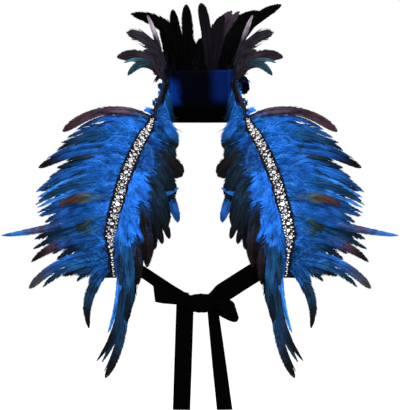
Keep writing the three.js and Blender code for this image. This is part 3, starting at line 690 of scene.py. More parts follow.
def webs(f, rng):
    """The closed inner part of each vane, as a thin cambered leaf just under the barbs."""
    which = np.arange(len(f["length"]))
    u = np.tile(LEAF_ALONG, (len(which), 1))
    point, _, side, top = (v[:, :, None] for v in on_quill(f, which, u))
    half = f["closed"][:, None] * half_width(f, which[:, None], u) * rng.uniform(0.86, 1.06, u.shape)
    beside = half[..., None] * LEAF_ACROSS
    drop = -CAMBER * np.abs(beside) - LEAF_DROP
    points = point + side * beside[..., None] + top * drop[..., None]
    normals = unit(top + side * (CAMBER * np.sign(LEAF_ACROSS))[:, None])
    downy = smoothstep(0.1, -0.1, u - f["downy"][:, None])
    return strips(points, normals, u[..., None], 0.5 + 0.47 * LEAF_ACROSS, which=which[:, None, None],
                  along=u[..., None], across=beside, shade=0.4, loose=downy[..., None])


def plumage(f, seed, thick=0.45 * MM):
    """The vanes, down and quills of all the feathers as one set of arrays."""
    rng = np.random.default_rng(seed)
    none, full = np.zeros(len(f["length"])), np.ones(len(f["length"]))
    sets = [
        barbs(f, np.maximum(f["downy"] - 0.12, 0), full, VANE_PITCH, False, rng),
        barbs(f, none, np.minimum(f["downy"] + 0.08, 1), DOWN_PITCH, True, rng),
        shafts(f, thick),
        webs(f, rng),
    ]
    starts = np.cumsum([0] + [len(s["points"]) for s in sets[:-1]])
    mesh = {name: np.concatenate([s[name] for s in sets]) for name in sets[0]}
    mesh["faces"] = np.concatenate([s["faces"] + start for s, start in zip(sets, starts)])
    which = mesh["which"]
    mesh["tint"] = f["tint"][which]
    run = mesh["along"] * f["length"][which]
    mesh["ripe"] = mesh["along"] - f["ripens"][which]
    mesh["grain"] = np.stack([mesh["across"] / (3 * MM), run / (26 * MM), which * 3.7], -1)
    tiles_high = -(-len(f["length"]) // TILES_WIDE)
    corner = np.stack([which % TILES_WIDE / TILES_WIDE, which // TILES_WIDE / tiles_high], -1)
    mesh["uv"] = corner + (0.02 + 0.96 * mesh["uv"]) / (TILES_WIDE, tiles_high)
    return mesh


def feather_piece(name, mesh, mirror, material, node):
    """One fringe's feathers as one piece, on the left or mirrored to the right."""
    faces = mesh["faces"] if mirror[0] > 0 else mesh["faces"][:, ::-1]
    made = piece(name, mesh["points"] * mirror, faces, material, normals=mesh["normals"] * mirror)
    for attribute in ("ripe", "shade", "loose", "grain"):
        paint_points(made, attribute, mesh[attribute])
    for k, attribute in enumerate(("down", "vane", "tip")):
        paint_points(made, attribute, mesh["tint"][:, k])
    corners = mesh["uv"][faces.ravel()].astype(np.float32)
    made.data.uv_layers.new(name="OFBake").data.foreach_set("uv", corners.ravel())
    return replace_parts(made, node)


def feather_pair(name, mesh, material, node):
    for side_name, mirror in SIDES:
        feather_piece(f"{name}_{side_name}", mesh, mirror, material, f"{node}_{side_name}")


def streaks(start):
    """Bands of barbs that lie together, lighter and darker along the feather."""
    return start.noise(start.painted("grain", "Vector"), 1.0)


# The feathers' colour, with a painted sheen of the given colour mixed into it
def dyed_feather(sheen_colour):
    def paint(start):
        loose, shade = start.painted("loose"), start.painted("shade")
        drift, cloud = start.mottle(30 * MM).step(0.3, 0.7), start.mottle(13 * MM)
        fine, streak = start.mottle(3 * MM), streaks(start)
        ripe = (start.painted("ripe") + cloud * 0.30 + streak * 0.16).step(0.06, 0.40)
        vane = ripe.mix(start.painted("vane", "Color"), start.painted("tip", "Color"))
        colour = (loose * (1 - ripe)).mix(vane, start.painted("down", "Color"))
        light = streak.step(0.30, 0.70) * (0.95 - loose * 0.5) + shade * 0.40 + fine * 0.35 + 0.12
        light = light * (0.55 + drift * 0.45 + cloud.step(0.3, 0.7) * 0.45)
        # Painted sheen: where the random shade, mottle and streaks are highest, away from the tips, the
        # colour is mixed towards the sheen colour as a painted highlight, more on the down
        sheen = (shade + fine * 0.7 + streak * 0.5).step(1.15, 1.70) * (1 - ripe) * (0.10 + loose * 0.28)
        return {
            "Base Color": sheen.mix(start.times(colour, light), sheen_colour),
            "Roughness": 0.50 + loose * 0.3 + fine * 0.1,
            "Specular IOR Level": 0.04,
        }
    return paint


# Blue feathers with a pale blue painted sheen
BLUE_FEATHER = finish("blue_feather", dyed_feather((0.050, 0.270, 0.780, 1)))


def wing_roots(side):
    def root_at(at):
        point, out, _, face = wing_seat(at)
        seam = side * by_place(SEAM_LINE, at) + by_place(TRIM_SHIFTS, at)
        return point + out * seam[:, None] + face * SEAM_LIFT, face
    return root_at


outer_mesh = plumage(dressed(OUTER_ROWS, OUTER_ACCENTS, OUTER_LAYERS, wing_roots(1), 11), 12)
feather_pair("outer_plumage", outer_mesh, BLUE_FEATHER, "outer_feathers")

# Inner feathers: the same feathers along the inner tape. They hang inward and down over the chest, and
# the lowest sweep out below the wing's foot. Their ends are darker, green-black and blue.
TINTS["violet"] = ((6, 50, 230), (6, 34, 150), (7, 18, 80))
TINTS["brown"] = ((6, 30, 110), (3, 3, 4), (6, 3, 3.5))
TINTS["coal"] = ((2, 10, 30), (2, 2, 3), (2, 1.5, 2))
TINTS["lens"] = ((2, 12, 30), (2, 13, 36), (5, 48, 200))
INNER_ROWS = [
    (0.03, -38, -44, 2, 1, 2, 12, 0.1, "blade", "teal"),
    (0.1, -40, -56, -40, 0, 5, 24, 0.1, "plush", "royal"),
    (0.19, -36, -62, -34, -6, 9, 24, 0.1, "plush", "royal"),
    (0.27, -44, -76, -80, -6, 6, 24, 0.2, "hackle", "deep"),
    (0.35, -40, -88, -116, -6, 11, 28, 0.1, "lobe", "deep"),
    (0.47, -54, -104, -168, -10, 12, 28, 0.1, "lobe", "deep"),
    (0.54, -68, -107, -180, -8, 7, 26, 0.1, "lobe", "deep"),
    (0.6, -74, -110, -208, -12, 14, 28, 0.3, "hackle", "brown"),
    (0.67, -94, -116, -246, -12, 12, 24, 0.3, "hackle", "brown"),
    (0.74, -110, -117, -304, -12, 12, 20, 0.2, "blade", "teal"),
    (0.81, -142, -116, -325, -13, 7, 12, 0.3, "blade", "sky"),
    (0.87, -159, -115, -368, -27, 12, 14, 0.2, "blade", "black"),
    (0.91, -146, -118, -394, -23, 8, 15, 0.1, "oar", "black"),
]
INNER_ACCENTS = [
    (0.36, -27.5, -77, -84, -4, 8, 33, 0.0, "disc", "coal"),
    (0.29, -80, -94, -108, -6, 10, 18, 0.2, "hackle", "violet"),
    (0.38, -42, -94, -142, -10, 12, 26, 0.1, "lobe", "deep"),
    (0.52, -32.5, -94, -101, 20, 3, 11, 0.0, "vane", "lens"),
    (0.42, -34, -98, -155, -12, 6, 16, 0.1, "oar", "lens"),
    (0.44, -50, -102, -160, -10, 14, 26, 0.1, "lobe", "deep"),
    (0.50, -47, -106, -180, -8, 3, 12, 0.0, "round", "coal"),
    (0.53, -58, -108, -188, -8, 3, 12, 0.0, "round", "coal"),
    (0.56, -70, -109, -185, -8, 3, 12, 0.0, "round", "coal"),
    (0.56, -82, -112, -224, -16, 15, 22, 0.1, "lobe", "brown"),
    (0.86, -118, -118, -330, -15, 9, 12, 0.2, "blade", "deep"),
    (0.88, -151, -117, -370, -22, 6, 16, 0.4, "blade", "teal"),
]
INNER_LAYERS = [
    (14, 0.00, 0.14, 0.85, 2, 11, "blade", ("teal", "deep", "teal")),
    (14, 0.20, 0.60, 0.88, -2, 24, "lobe", ("deep", "deep", "black")),
    (14, 0.18, 0.60, 0.72, 4, 24, "lobe", ("deep", "deep", "teal", "deep")),
    (6, 0.60, 0.78, 0.88, -2, 21, "hackle", ("black", "deep", "teal")),
    (7, 0.60, 0.78, 0.72, 4, 22, "hackle", ("royal", "teal", "deep", "black")),
    (8, 0.12, 0.36, 0.46, 6, 26, "soft", ("royal", "teal", "deep")),
    (3, 0.40, 0.46, 0.46, 10, 24, "soft", ("royal", "violet", "teal")),
    (14, 0.49, 0.71, 0.55, 12, 26, "soft", ("azure", "bright", "azure")),
    (5, 0.67, 0.80, 0.40, 6, 20, "soft", ("royal", "teal", "royal")),
    (6, 0.12, 0.29, 0.30, 6, 26, "tuft", ("bright", "royal", "teal")),
    (7, 0.32, 0.45, 0.36, 9, 26, "tuft", ("royal", "violet", "royal")),
    (14, 0.47, 0.72, 0.36, 9, 26, "tuft", ("azure", "bright", "azure")),
    (7, 0.73, 0.89, 0.22, 6, 16, "tuft", ("royal", "teal", "teal")),
    (9, 0.80, 0.91, 0.92, 5, 8, "blade", ("deep", "black", "royal", "deep", "teal")),
    (8, 0.80, 0.91, 0.72, 7, 9, "blade", ("deep", "teal", "black")),
]
inner_roots = wing_roots(-1)
inner_mesh = plumage(dressed(INNER_ROWS, INNER_ACCENTS, INNER_LAYERS, inner_roots, 21), 22)
feather_pair("inner_plumage", inner_mesh, BLUE_FEATHER, "inner_feathers")

# Side plumes: a small fan of dusky feathers at each side of the collar, sewn to a tape on its outside,
# from grey-purple over dark red to teal. The lowest stand on the top of the wing's tape.
PLUME_ROOT_HEIGHT = 72 * MM
PLUME_ROOT_RADIUS = 61 * MM
SIDE_QUILL = 0.4 * MM
TINTS.update({
    "mauve": ((4, 4, 7), (12, 9, 14), (170, 140, 175)),
    "slate": ((5, 10, 18), (7, 5, 8), (10, 8, 12)),
    "wine": ((30, 70, 110), (14, 8, 12), (10, 6, 10)),
    "sea": ((8, 18, 28), (6, 16, 24), (6, 20, 32)),
    "ice": ((10, 28, 46), (12, 32, 50), (24, 60, 90)),
})
STYLES.update({
    "plume": (28, 5, 0.12, 0.90, 0.14, 0.35, 0.8, 0.68),
    "brush": (20, 10, 0.10, 0.70, 0.14, 0.45, 0.8, 0.68),
    "sickle": (34, 5, 0.06, 0.90, 0.15, 0.90, 0.8, 0.68),
})
SIDE_ROWS = [
    (-102, -68, -20, 62, 3, 1, 9, 0.5, "soft", "slate"),
    (-95, -112, -4, 73, 19, 1, 14, 0.1, "plume", "sea"),
    (-88, -129, 8, 101, 15, 1, 22, 0.12, "plume", "wine"),
    (-80, -115, 22, 140.5, 19, 1, 24, 0.9, "brush", "slate"),
    (-72, -82, 34, 167, 5, 1, 9, 0.2, "plume", "mauve"),
]
SIDE_ACCENTS = [
    (-91, -118, 4, 92.5, 15, 1, 7, 0.3, "plume", "ice"),
    (-84, -88, 14, 112, 12, 1, 16, 0.3, "plume", "slate"),
]
SIDE_LAYERS = [
    (5, -98, -78, 0.40, 2, 11, "soft", ("slate", "wine")),
]
STEM_ROWS = [
    (0.0, -78, -22, 104, -3, 2, 15, 0.2, "plume", "slate"),
    (0.0, -70, -28, 98, -2, 3, 14, 0.2, "plume", "wine"),
    (0.01, -60, -36, 90, -1, 3, 13, 0.3, "plume", "slate"),
]


def plume_roots(turn_share):
    def root_at(at):
        turn = np.radians(at)
        level = PLUME_ROOT_HEIGHT + 0 * turn
        root = np.stack([PLUME_ROOT_RADIUS * np.sin(turn), PLUME_ROOT_RADIUS * np.cos(turn), level], -1)
        return root, -np.stack([np.sin(turn * turn_share), np.cos(turn * turn_share), 0 * turn], -1)
    return root_at


# Dusky feathers with a dark grey-blue painted sheen
DUSKY_FEATHER = finish("dusky_feather", dyed_feather((0.022, 0.034, 0.048, 1)))
fan = dressed(SIDE_ROWS, SIDE_ACCENTS, SIDE_LAYERS, plume_roots(0), 31)
stems = rooted([long_feathers(STEM_ROWS)], inner_roots)
side_mesh = plumage({name: np.concatenate([fan[name], stems[name]]) for name in fan}, 32, SIDE_QUILL)
feather_pair("side_plumage", side_mesh, DUSKY_FEATHER, "side_plumes")

# Back plumes: long black rooster plumes that stand up behind the neck, sewn to a tape on the collar's
# outside. They are glossy and close, brown-black on the right, and one short navy one curls round there.
TINTS.update({
    "jet": ((0.4, 0.3, 0.5), (0.4, 0.3, 0.5), (0.3, 0.3, 0.4)),
    "umber": ((2.4, 1.7, 2.9), (3, 2.2, 3.7), (2.2, 1.6, 2.6)),
    "streak": ((2.6, 1.9, 3.2), (4, 2.9, 4.8), (24, 17.6, 25.6)),
    "ink": ((2, 1.4, 20), (2.6, 1.6, 28), (2, 1.4, 20)),
})
BACK_QUILL = 0.5 * MM
# The share of its place round the neck by which a back plume's face turns
BACK_FACING = 0.55
STYLES["stub"] = (24, 16, 0.08, 0.95, 0.35, 0.5, 0.8, 0.68)
STYLES["paddle"] = (24, 7, 0.08, 0.95, 0.35, 0.5, 0.8, 0.68)
BACK_ROWS = [
    (-50, -62, 72, 150, 4, 2, 16, 0.1, "plume", "jet"),
    (-38, -108, 84, 170, 36, 5, 25, 0.1, "plume", "jet"),
    (-27, -42.5, 80, 177, 0, 2, 18, 0.0, "paddle", "jet"),
    (-17, -21.5, 86, 185, 0, 5, 20, 0.0, "paddle", "jet"),
    (-5, -5, 74, 120, 0, 2, 18, 0.2, "paddle", "jet"),
    (14, 1, 88, 187, 4, 5, 17, 0.0, "stub", "umber"),
    (18, 22, 76, 150, 0, 2, 28, 0.2, "plume", "umber"),
    (23, 50, 84, 175, -13, 5, 28, 0.4, "plume", "streak"),
    (33, 92, 80, 174, -25, 2, 27, 0.1, "plume", "jet"),
    (42, 127, 78, 184, -22, 5, 24, 0.1, "sickle", "jet"),
    (50, 68, 66, 138, -5, 2, 22, 0.2, "plume", "umber"),
    (56, 61.5, 47, 48, -13, 1, 24, 0.05, "round", "ink"),
]
BACK_ACCENTS = [
    (19, 37, 80, 168, -9, 4, 26, 0.3, "plume", "umber"),
    (21, 29, 78, 160, -4, 3, 22, 0.3, "plume", "umber"),
    (26, 62, 82, 174, -14, 4, 15, 0.5, "brush", "streak"),
    (46, 92, 76, 162, -9, 5, 14, 0.1, "plume", "jet"),
]
BACK_LAYERS = [
    (16, -46, 54, 0.66, -2, 30, "plume", ("jet", "jet", "umber")),
    (18, -56, 54, 0.45, -1, 32, "plume", ("jet", "jet", "umber")),
]


def black_plume(start):
    ripe, shade = start.painted("ripe"), start.painted("shade")
    cloud, streak = start.mottle(7 * MM), streaks(start)
    ripe = (ripe + cloud * 0.15 + streak * 0.5).step(0.22, 0.57)
    vane = ripe.mix(start.painted("vane", "Color"), start.painted("tip", "Color"))
    light = 0.5 + shade * 0.5 + streak * 0.8
    return {
        "Base Color": start.times(vane, light),
        "Roughness": 0.42 + cloud * 0.15,
        "Specular IOR Level": 0.006,
    }


BLACK_PLUME = finish("black_plume", black_plume)
back = dressed(BACK_ROWS, BACK_ACCENTS, BACK_LAYERS, plume_roots(BACK_FACING), 41)
back_mesh = plumage(back, 42, BACK_QUILL)
feather_piece("back_plumage", back_mesh, np.ones(3), BLACK_PLUME, "back_plumes")

# Crystal trim: a black braid over the seam of the two tapes, set with clear cut stones. Large stones run
# down its middle, small ones fill in beside them, and black beads edge it.
TRIM_FOOT = 1.45 * MM
TRIM_THICK = 1.6 * MM
# The trim's width in millimetres at places down it, and the place where its stones start
TRIM_WIDTHS = np.array([
    (0, 6), (0.17, 7), (0.22, 12), (0.27, 18.5), (0.8, 18.5), (0.85, 12), (0.89, 8), (1, 5.5),
])
TRIM_BARE = 0.19
BRAID_STEPS = 120
BRAID_STEPS_ACROSS = 7
BRAID_SHARE = 0.9
BRAID_CROWN = 0.5 * MM
STONE_PITCH = 10.4 * MM
STONE_RADIUS = 4.6 * MM
STONE_HEIGHT = 2.8 * MM
STONE_SIDESTEP = 1.3 * MM
STONE_MARGIN = 0.9 * MM
STONE_SIDES = 10
STONE_TILT = 0.13
STONE_SLIMS, STONE_AIMS = (0.62, 1.0), (-0.9, 0.5)
# The two powers of the spread of dark and bright facets, painted as reflections
GLINT_SPREAD = (0.5, 0.36)
# The share of a stone's radius and of its height at its girdle's foot, its girdle and its two crown rings
STONE_RINGS = ((0.98, -0.5 * MM / STONE_HEIGHT), (1.0, 0.12), (0.82, 0.62), (0.56, 1.0))
TURNED_RING = 2
SMALL_STONE_RADII = (1.4, 3.3)
SMALL_STONE_MARGIN = 0.2 * MM
SMALL_STONE_TRIES = 5000
SMALL_STONE_CLOSENESS = 0.84
BEAD_PITCH = 2.4 * MM
BEAD_RADIUS = 1.0 * MM
BEAD_SIZES = (0.75, 1.25)
BEAD_ROWS = 5
BEAD_SCATTER = (-2.0, 3.0)
BEAD_SIDES = 8
BEAD_RING = 0.6
CRYSTAL_DARK = (0.010, 0.010, 0.012, 1)
CRYSTAL_LIT = (0.97, 0.95, 0.95, 1)
BRAID_BLACK = (0.0010, 0.0007, 0.0012, 1)
BRAID_LIT = (0.0060, 0.0036, 0.0060, 1)


def copies(corners, count, size):
    """The faces of a small shape with that many points, for each of its copies."""
    faces = np.concatenate([np.stack(face, -1) for face in corners])
    return (faces + (np.arange(count) * size)[:, None, None]).reshape(-1, 3)


def set_stones(at, aside, radius, slim, aim, tilt):
    """Cut stones on the braid: a girdle, two rows of crown facets and a flat table. Slim ones are oval."""
    point, out, down, face = (v[:, None] for v in wing_seat(at))
    aside = by_place(TRIM_SHIFTS, at) + aside
    at, aside, radius, slim, aim = (v[:, None] for v in (at, aside, radius, slim, aim))
    turn = 2 * np.pi * np.arange(STONE_SIDES) / STONE_SIDES + 0 * at
    grid = []
    for k, (share, high) in enumerate(STONE_RINGS):
        spin = turn + (np.pi / STONE_SIDES if k == TURNED_RING else 0)
        long = radius * share * np.cos(spin)
        short = radius * share * np.sin(spin) * slim
        right = long * np.cos(aim) - short * np.sin(aim)
        below = long * np.sin(aim) + short * np.cos(aim)
        level = TRIM_FOOT + TRIM_THICK + high * STONE_HEIGHT * np.sqrt(radius / STONE_RADIUS)
        level = level + right * tilt[:, :1] + below * tilt[:, 1:]
        place = point + out * (aside + right)[..., None] + down * below[..., None]
        grid.append(place + face * level[..., None])
    points = np.concatenate([*grid, grid[-1].mean(1, keepdims=True)], 1)
    ring = np.arange(STONE_SIDES)
    after = np.roll(ring, -1)
    corners = []
    for low in STONE_SIDES * np.arange(len(STONE_RINGS) - 1):
        high = low + STONE_SIDES
        corners += [(low + ring, low + after, high + ring), (low + after, high + after, high + ring)]
    corners.append((high + ring, high + after, 0 * ring + high + STONE_SIDES))
    return points.reshape(-1, 3), copies(corners, len(at), points.shape[1])


def crystal(start):
    glint = start.painted("glint")
    return {
        # Painted reflections: each facet is painted from dark to near white, for the glints of a cut stone
        "Base Color": glint.mix(CRYSTAL_DARK, CRYSTAL_LIT),
        "Roughness": 0.06 + glint * 0.08,
        "Metallic": 0.55 + glint * 0.3,
        "Specular IOR Level": 0.6,
    }


def braid_black(start):
    knot = start.mottle(1.6 * MM)
    return {
        "Base Color": knot.mix(BRAID_BLACK, BRAID_LIT),
        "Roughness": 0.35 + knot * 0.3,
        "Specular IOR Level": 0.10,
        "Normal": start.relief(knot, 0.3 * MM),
    }


CRYSTAL = finish("cut_crystal", crystal)
BRAID = finish("black_braid", braid_black)
rng = np.random.default_rng(51)
trim_length = np.linalg.norm(np.diff(trim_line, axis=0), axis=1).sum()
large = int(trim_length * (1 - TRIM_BARE) / STONE_PITCH)
large_at = TRIM_BARE + (np.arange(large) + 0.5) * STONE_PITCH / trim_length
room = by_place(TRIM_WIDTHS, large_at) / 2 - STONE_MARGIN
large_radius = np.minimum(STONE_RADIUS, room) * 0.92
large_aside = np.minimum(STONE_SIDESTEP, np.maximum(0, room - large_radius))
large_aside = large_aside * np.where(np.arange(large) % 2, 1, -1)
stones = np.stack([large_at, large_aside, large_radius], -1)
for _ in range(SMALL_STONE_TRIES):
    at, radius = rng.uniform(TRIM_BARE, 0.995), rng.uniform(*SMALL_STONE_RADII) * MM
    aside = rng.uniform(-1, 1) * max(0, by_place(TRIM_WIDTHS, at) / 2 - radius - SMALL_STONE_MARGIN)
    apart = np.hypot((stones[:, 0] - at) * trim_length, stones[:, 1] - aside)
    if np.all(apart > SMALL_STONE_CLOSENESS * (stones[:, 2] + radius)):
        stones = np.vstack([stones, (at, aside, radius)])
count = len(stones)
slim, aim = rng.uniform(*STONE_SLIMS, count), rng.uniform(*STONE_AIMS, count)
stone_points, stone_faces = set_stones(*stones.T, slim, aim, rng.normal(0, STONE_TILT, (count, 2)))
# Painted glints: a random brightness of reflection for each facet
glints = rng.beta(*GLINT_SPREAD, len(stone_faces)).astype(np.float32)

bead_count = int(trim_length * (1 - TRIM_BARE) / BEAD_PITCH)
bead_at = np.tile(TRIM_BARE + np.arange(bead_count) / bead_count * (1 - TRIM_BARE), 2 * BEAD_ROWS)
bead_side = np.repeat([-1.0, 1.0], BEAD_ROWS * bead_count)
bead_point, bead_out, _, bead_face = wing_seat(bead_at)
bead_aside = by_place(TRIM_WIDTHS, bead_at) / 2 + rng.uniform(*BEAD_SCATTER, len(bead_at)) * MM
bead_aside = bead_side * bead_aside + by_place(TRIM_SHIFTS, bead_at)
bead_middle = bead_point + bead_out * bead_aside[:, None] + bead_face * (TRIM_FOOT + TRIM_THICK * 0.8)
ball = [(0, 0, -1)]
for level in (-BEAD_RING, BEAD_RING):
    for turn in 2 * np.pi * np.arange(BEAD_SIDES) / BEAD_SIDES:
        ball.append((np.cos(turn) * np.cos(level), np.sin(turn) * np.cos(level), np.sin(level)))
ball = np.array([*ball, (0, 0, 1)])
low = 1 + np.arange(BEAD_SIDES)
after = np.roll(low, -1)
high, high_after, pole = low + BEAD_SIDES, after + BEAD_SIDES, 0 * low
ball_corners = [
    (pole, after, low),
    (low, after, high),
    (after, high_after, high),
    (high, high_after, pole + len(ball) - 1),
]
bead_size = BEAD_RADIUS * rng.uniform(*BEAD_SIZES, len(bead_at))
bead_points = (bead_middle[:, None] + ball[None] * bead_size[:, None, None]).reshape(-1, 3)
bead_faces = copies(ball_corners, len(bead_at), len(ball))

braid_at = np.linspace(0, 1, BRAID_STEPS)
braid_over = np.linspace(-0.5, 0.5, BRAID_STEPS_ACROSS)
braid_point, braid_out, _, braid_face = (v[:, None] for v in wing_seat(braid_at))
braid_width = BRAID_SHARE * by_place(TRIM_WIDTHS, braid_at)[:, None]
braid_aside = by_place(TRIM_SHIFTS, braid_at)[:, None] + braid_width * braid_over
braid_lift = TRIM_FOOT + TRIM_THICK / 2 + BRAID_CROWN * np.cos(np.pi * braid_over) - BRAID_CROWN / 2
braid_grid = braid_point + braid_out * braid_aside[..., None] + braid_face * braid_lift[:, None]
for side_name, mirror in SIDES:
    turned = slice(None, None, int(mirror[0]))
    placed, facets = stone_points * mirror, stone_faces[:, turned]
    crystals = piece(f"crystals_{side_name}", placed, facets, CRYSTAL, smooth=False)
    crystals.data.attributes.new("glint", "FLOAT", "FACE").data.foreach_set("value", glints)
    braid_name = f"trim_braid_{side_name}"
    braid = cloth(braid_name, braid_grid * mirror, TRIM_THICK - BRAID_CROWN, BRAID)
    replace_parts(braid, f"crystal_trim_{side_name}")
    piece(f"trim_beads_{side_name}", bead_points * mirror, bead_faces[:, turned], BRAID)

# Ties: a black velvet ribbon, 27 mm wide, sewn behind the foot of each wing and drawn to the knot in
# front of the chest, where it gathers.
RIBBON_WIDTH = 27 * MM
RIBBON_THICK = 0.9 * MM
KNOT = np.array([2, -110, -279]) * MM
KNOT_SIZE = np.array([46, 20, 30]) * MM
KNOT_ENTRY = 5 * MM
TIE_FROM = 0.93
TIE_GATHER = 0.62
TIE_BEHIND = -2.1 * MM
TIE_PLEAT = 1.6 * MM
# How far the sewn end lies out from the trim and further behind it in millimetres, at three places
TIE_SEWN = ((4, 0), (-7, 0), (-20, -4))
TIE_TUCK = 9 * MM
TIE_ABOVE_KNOT = 5 * MM
TIE_APPROACH = -14
TIE_STEPS = 60
RIBBON_STEPS_ACROSS = 13
# The climb to the knot in millimetres, the twist in degrees and the share of its width, left and right
TIE_LIES = ((3, 42, 1), (8, 0, 1.12))


def ribbon(name, middle, across, width, node, crease=0.0):
    """A velvet ribbon along a line, with the direction and the width across it at each point."""
    over = np.linspace(-0.5, 0.5, RIBBON_STEPS_ACROSS)
    heading = unit(np.gradient(middle, axis=0))
    out = unit(np.cross(heading, across))
    pleat = (np.cos(3 * 2 * np.pi * over) * crease)[None, :] * (1 - width / RIBBON_WIDTH)[:, None]
    grid = middle[:, None] + across[:, None] * (width[:, None] * over)[..., None]
    grid = grid + out[:, None] * pleat[..., None]
    made = cloth(name, grid, RIBBON_THICK, BLACK_VELVET)
    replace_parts(made, node)
    return made


tie_point, tie_out, tie_down, tie_face = (v[0] for v in wing_seat(np.array([TIE_FROM])))
for (side_name, mirror), (climb, twist, wide) in zip(SIDES, TIE_LIES):
    knot_end = mirror[0] * KNOT[0] - KNOT_SIZE[0] / 2
    tie_end = np.array([knot_end + TIE_TUCK, KNOT[1] + KNOT_ENTRY, KNOT[2] + TIE_ABOVE_KNOT])
    route = spline([
        *(tie_point + tie_out * out * MM + tie_face * (TIE_BEHIND + back * MM) for out, back in TIE_SEWN),
        tie_end + np.array([TIE_APPROACH, 0, climb]) * MM,
        tie_end,
    ])
    share = np.linspace(0, 1, TIE_STEPS)
    middle, heading, _ = along(route, share)
    across = -tie_down + (np.array([0.25, 0, 1]) + tie_down) * share[:, None]
    across = unit(across - heading * np.sum(across * heading, -1, keepdims=True))
    turn = np.radians(twist) * smoothstep(0.05, 0.35, share)[:, None]
    across = across * np.cos(turn) + np.cross(heading, across) * np.sin(turn)
    width = RIBBON_WIDTH * wide * (1 + (TIE_GATHER - 1) * smoothstep(0.84, 1, share))
    ribbon(f"tie_ribbon_{side_name}", middle * mirror, across * mirror, width, f"tie_{side_name}",
           TIE_PLEAT)

# Bow: the knot is a short wrap of the same ribbon round the crossing ties, drawn tight into creases.
# One loop stands out at each side of it, and the two cut ends hang down.
# Each loop's reach, rise, drop at the knot and spread in millimetres, its roll in degrees, its slant and
# how much it narrows at its far end
LOOPS = {"left": (55, 9, -6, 8, 0, -0.12, 0.06), "right": (38, -12, 3, 36, 28, -0.28, 0.25)}
LOOP_GATHER = 0.72
LOOP_PLEAT = 1.2 * MM
LOOP_TUCK = 5 * MM
LOOP_STEPS = 61
# Each tail's x at the knot, its tuck there, its foot's x and y in millimetres, and its turn at both ends
TAILS = {"left": (-23, 14.1, -28.5, -102, 0, 0), "right": (18.5, 15.4, 38, -99, 54, 28)}
TAIL_SWAY = 3 * MM
TAIL_STEPS = 81
TAIL_FOOT = -443.5 * MM
WRAP_STEPS = 41
WRAP_SIDES = 48
WRAP_DIMPLE = 2.5 * MM
# The share of its thickness at the ends, how square its round is, and its creases
WRAP_END, WRAP_SQUARE, WRAP_CREASE, WRAP_CREASES = 0.72, 0.7, 0.02, 5

wrap_u = np.linspace(-1, 1, WRAP_STEPS)[:, None]
wrap_turn = np.linspace(0, 2 * np.pi, WRAP_SIDES + 1)[None, :-1]
swell = WRAP_END + (1 - WRAP_END) * np.cos(wrap_u * np.pi / 2)
rounded = lambda v: np.sign(v) * np.abs(v) ** WRAP_SQUARE
crease = np.sin(WRAP_CREASES * wrap_u * np.pi + 2.0 * np.sin(wrap_turn)) * (1 - wrap_u**2)
crease = 1 + WRAP_CREASE * crease - WRAP_CREASE
wrap_grid = np.stack([
    KNOT[0] + wrap_u * KNOT_SIZE[0] / 2 + 0 * wrap_turn,
    KNOT[1] + rounded(np.cos(wrap_turn)) * swell * crease * KNOT_SIZE[1] / 2,
    KNOT[2] + rounded(np.sin(wrap_turn)) * swell * crease * KNOT_SIZE[2] / 2,
], -1)
wrap_index = np.arange(WRAP_STEPS * WRAP_SIDES).reshape(WRAP_STEPS, WRAP_SIDES)
wrap_next = np.roll(wrap_index, -1, axis=1)
wrap_faces = np.stack([wrap_index[:-1], wrap_next[:-1], wrap_next[1:], wrap_index[1:]], -1).reshape(-1, 4)
wrap_points, half = wrap_grid.reshape(-1, 3), WRAP_SIDES // 2 - 1
for row, order in ((0, -1), (-1, 1)):
    cap = wrap_grid[row] * 0.5 + wrap_grid[row].mean(0) * 0.5
    cap[:, 0] -= np.sign(wrap_u[row, 0]) * WRAP_DIMPLE
    ring = len(wrap_points) + np.arange(WRAP_SIDES)
    rim = np.stack([wrap_index[row], wrap_next[row], np.roll(ring, -1), ring], -1)
    back = ring[::-1]
    lid = np.stack([ring[:half], ring[1 : half + 1], back[1 : half + 1], back[:half]], -1)
    wrap_points = np.concatenate([wrap_points, cap])
    wrap_faces = np.concatenate([wrap_faces, rim[:, ::order], lid[:, ::order]])
wrap = piece("bow_wrap", wrap_points, wrap_faces, BLACK_VELVET)
paint_points(wrap, "run", wrap_points[:, 0])
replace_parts(wrap, "bow_knot")

for side_name, (reach, rise, lower, spread, roll, slant, corner) in LOOPS.items():
    hand = -1 if side_name == "left" else 1
    lean = rise / reach
    root = KNOT + np.array([hand * (KNOT_SIZE[0] / 2 - LOOP_TUCK), -KNOT_ENTRY, -lower * MM])
    heading = unit(np.array([hand, 0, lean]))
    across = unit(np.array([slant, np.sin(np.radians(roll)), np.cos(np.radians(roll))]))
    apart = np.cross(heading, across)
    turn = np.pi * (np.linspace(0, 1, LOOP_STEPS) - 0.5)
    far = np.sqrt(np.maximum(0, np.cos(turn)))
    gap = spread / 2 * MM * np.sin(turn) * (0.4 + 0.6 * far)
    middle = root + heading * (far * reach * MM)[:, None] + apart * gap[:, None]
    width = RIBBON_WIDTH * (LOOP_GATHER + (1 - LOOP_GATHER) * np.minimum(1, far / 0.77))
    width *= 1 - corner * np.exp(-((turn / 0.4) ** 2))
    ribbon(f"loop_ribbon_{side_name}", middle, np.tile(across, (LOOP_STEPS, 1)), width,
           f"bow_loop_{side_name}", LOOP_PLEAT)

for side_name, (top_x, tuck, foot_x, foot_y, top_turn, foot_turn) in TAILS.items():
    top = np.array([top_x * MM, KNOT[1], KNOT[2] - KNOT_SIZE[2] / 2 + tuck * MM])
    foot = np.array([foot_x * MM, foot_y * MM, TAIL_FOOT])
    share = np.linspace(0, 1, TAIL_STEPS)[:, None]
    middle = top + (foot - top) * share
    middle[:, 1:2] += TAIL_SWAY * np.sin(share * np.pi * 1.6)
    turn = np.radians(top_turn + (foot_turn - top_turn) * share[:, 0])
    across = np.stack([np.cos(turn), np.sin(turn), 0 * turn], -1)
    ribbon(f"tail_ribbon_{side_name}", middle, across, np.full(TAIL_STEPS, RIBBON_WIDTH),
           f"bow_tail_{side_name}")

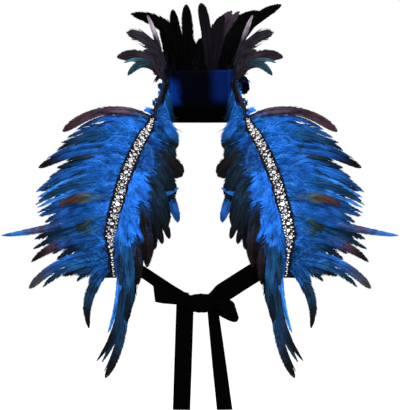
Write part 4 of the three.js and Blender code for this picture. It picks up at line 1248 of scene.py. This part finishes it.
# Studio: a pale floor under the ribbons' ends, white all round, and soft light from above the camera.
# The camera looks level at the front from well away, as the photograph does.
PIXEL = 1.55 * MM
FRAME_HIGH = 410
CAMERA_AWAY = 16.0
CAMERA_HEIGHT = (122 - 204.5) * PIXEL
SENSOR = 36
FLOOR_REACH = 20
FLOOR_GAP = 1 * MM
LIGHTS_AIM = np.array([0, 0, -0.12])

floor_mesh = bpy.data.meshes.new("floor")
floor_corners = [(FLOOR_REACH * x, FLOOR_REACH * y, 0) for x, y in ((-1, -1), (1, -1), (1, 1), (-1, 1))]
floor_mesh.from_pydata(floor_corners, [], [(0, 1, 2, 3)])
floor = stand("floor", floor_mesh)
floor.location.z = TAIL_FOOT - FLOOR_GAP
floor_mesh.materials.append(finish("pale_floor", lambda start: {
    "Base Color": start.mottle(0.5).mix((0.93, 0.93, 0.93, 1), (0.95, 0.95, 0.95, 1)),
    "Roughness": 0.9,
    "Specular IOR Level": 0.0,
    "Emission Color": (1, 1, 1, 1),
    "Emission Strength": 0.12,
}))

world = bpy.data.worlds.new("studio")
world.use_nodes = True
white = world.node_tree.nodes["Background"]
white.inputs["Color"].default_value = (1, 1, 1, 1)
white.inputs["Strength"].default_value = 1.0
bpy.context.scene.world = world
bpy.context.scene.view_settings.view_transform = "Standard"

for name, place, size, power in (
    ("key_light", (-0.3, -1.8, 1.6), 1.0, 58),
    ("fill_light", (1.3, -1.6, 0.3), 1.2, 14),
    ("back_light", (0.3, 1.6, 1.2), 1.0, 10),
):
    lamp = bpy.data.lights.new(name, "AREA")
    lamp.size = size
    lamp.energy = power
    light = stand(name, lamp)
    light.location = place
    aim = LIGHTS_AIM - np.array(place)
    dip = np.arctan2(np.hypot(aim[0], aim[1]), -aim[2])
    light.rotation_euler = (dip, 0, np.arctan2(aim[1], aim[0]) - np.pi / 2)

camera_data = bpy.data.cameras.new("camera")
camera_data.sensor_width = SENSOR
camera_data.lens = SENSOR * CAMERA_AWAY / (FRAME_HIGH * PIXEL)
camera = stand("camera", camera_data)
camera.location = (0, -CAMERA_AWAY, CAMERA_HEIGHT)
camera.rotation_euler = (np.pi / 2, 0, 0)
bpy.context.scene.camera = camera
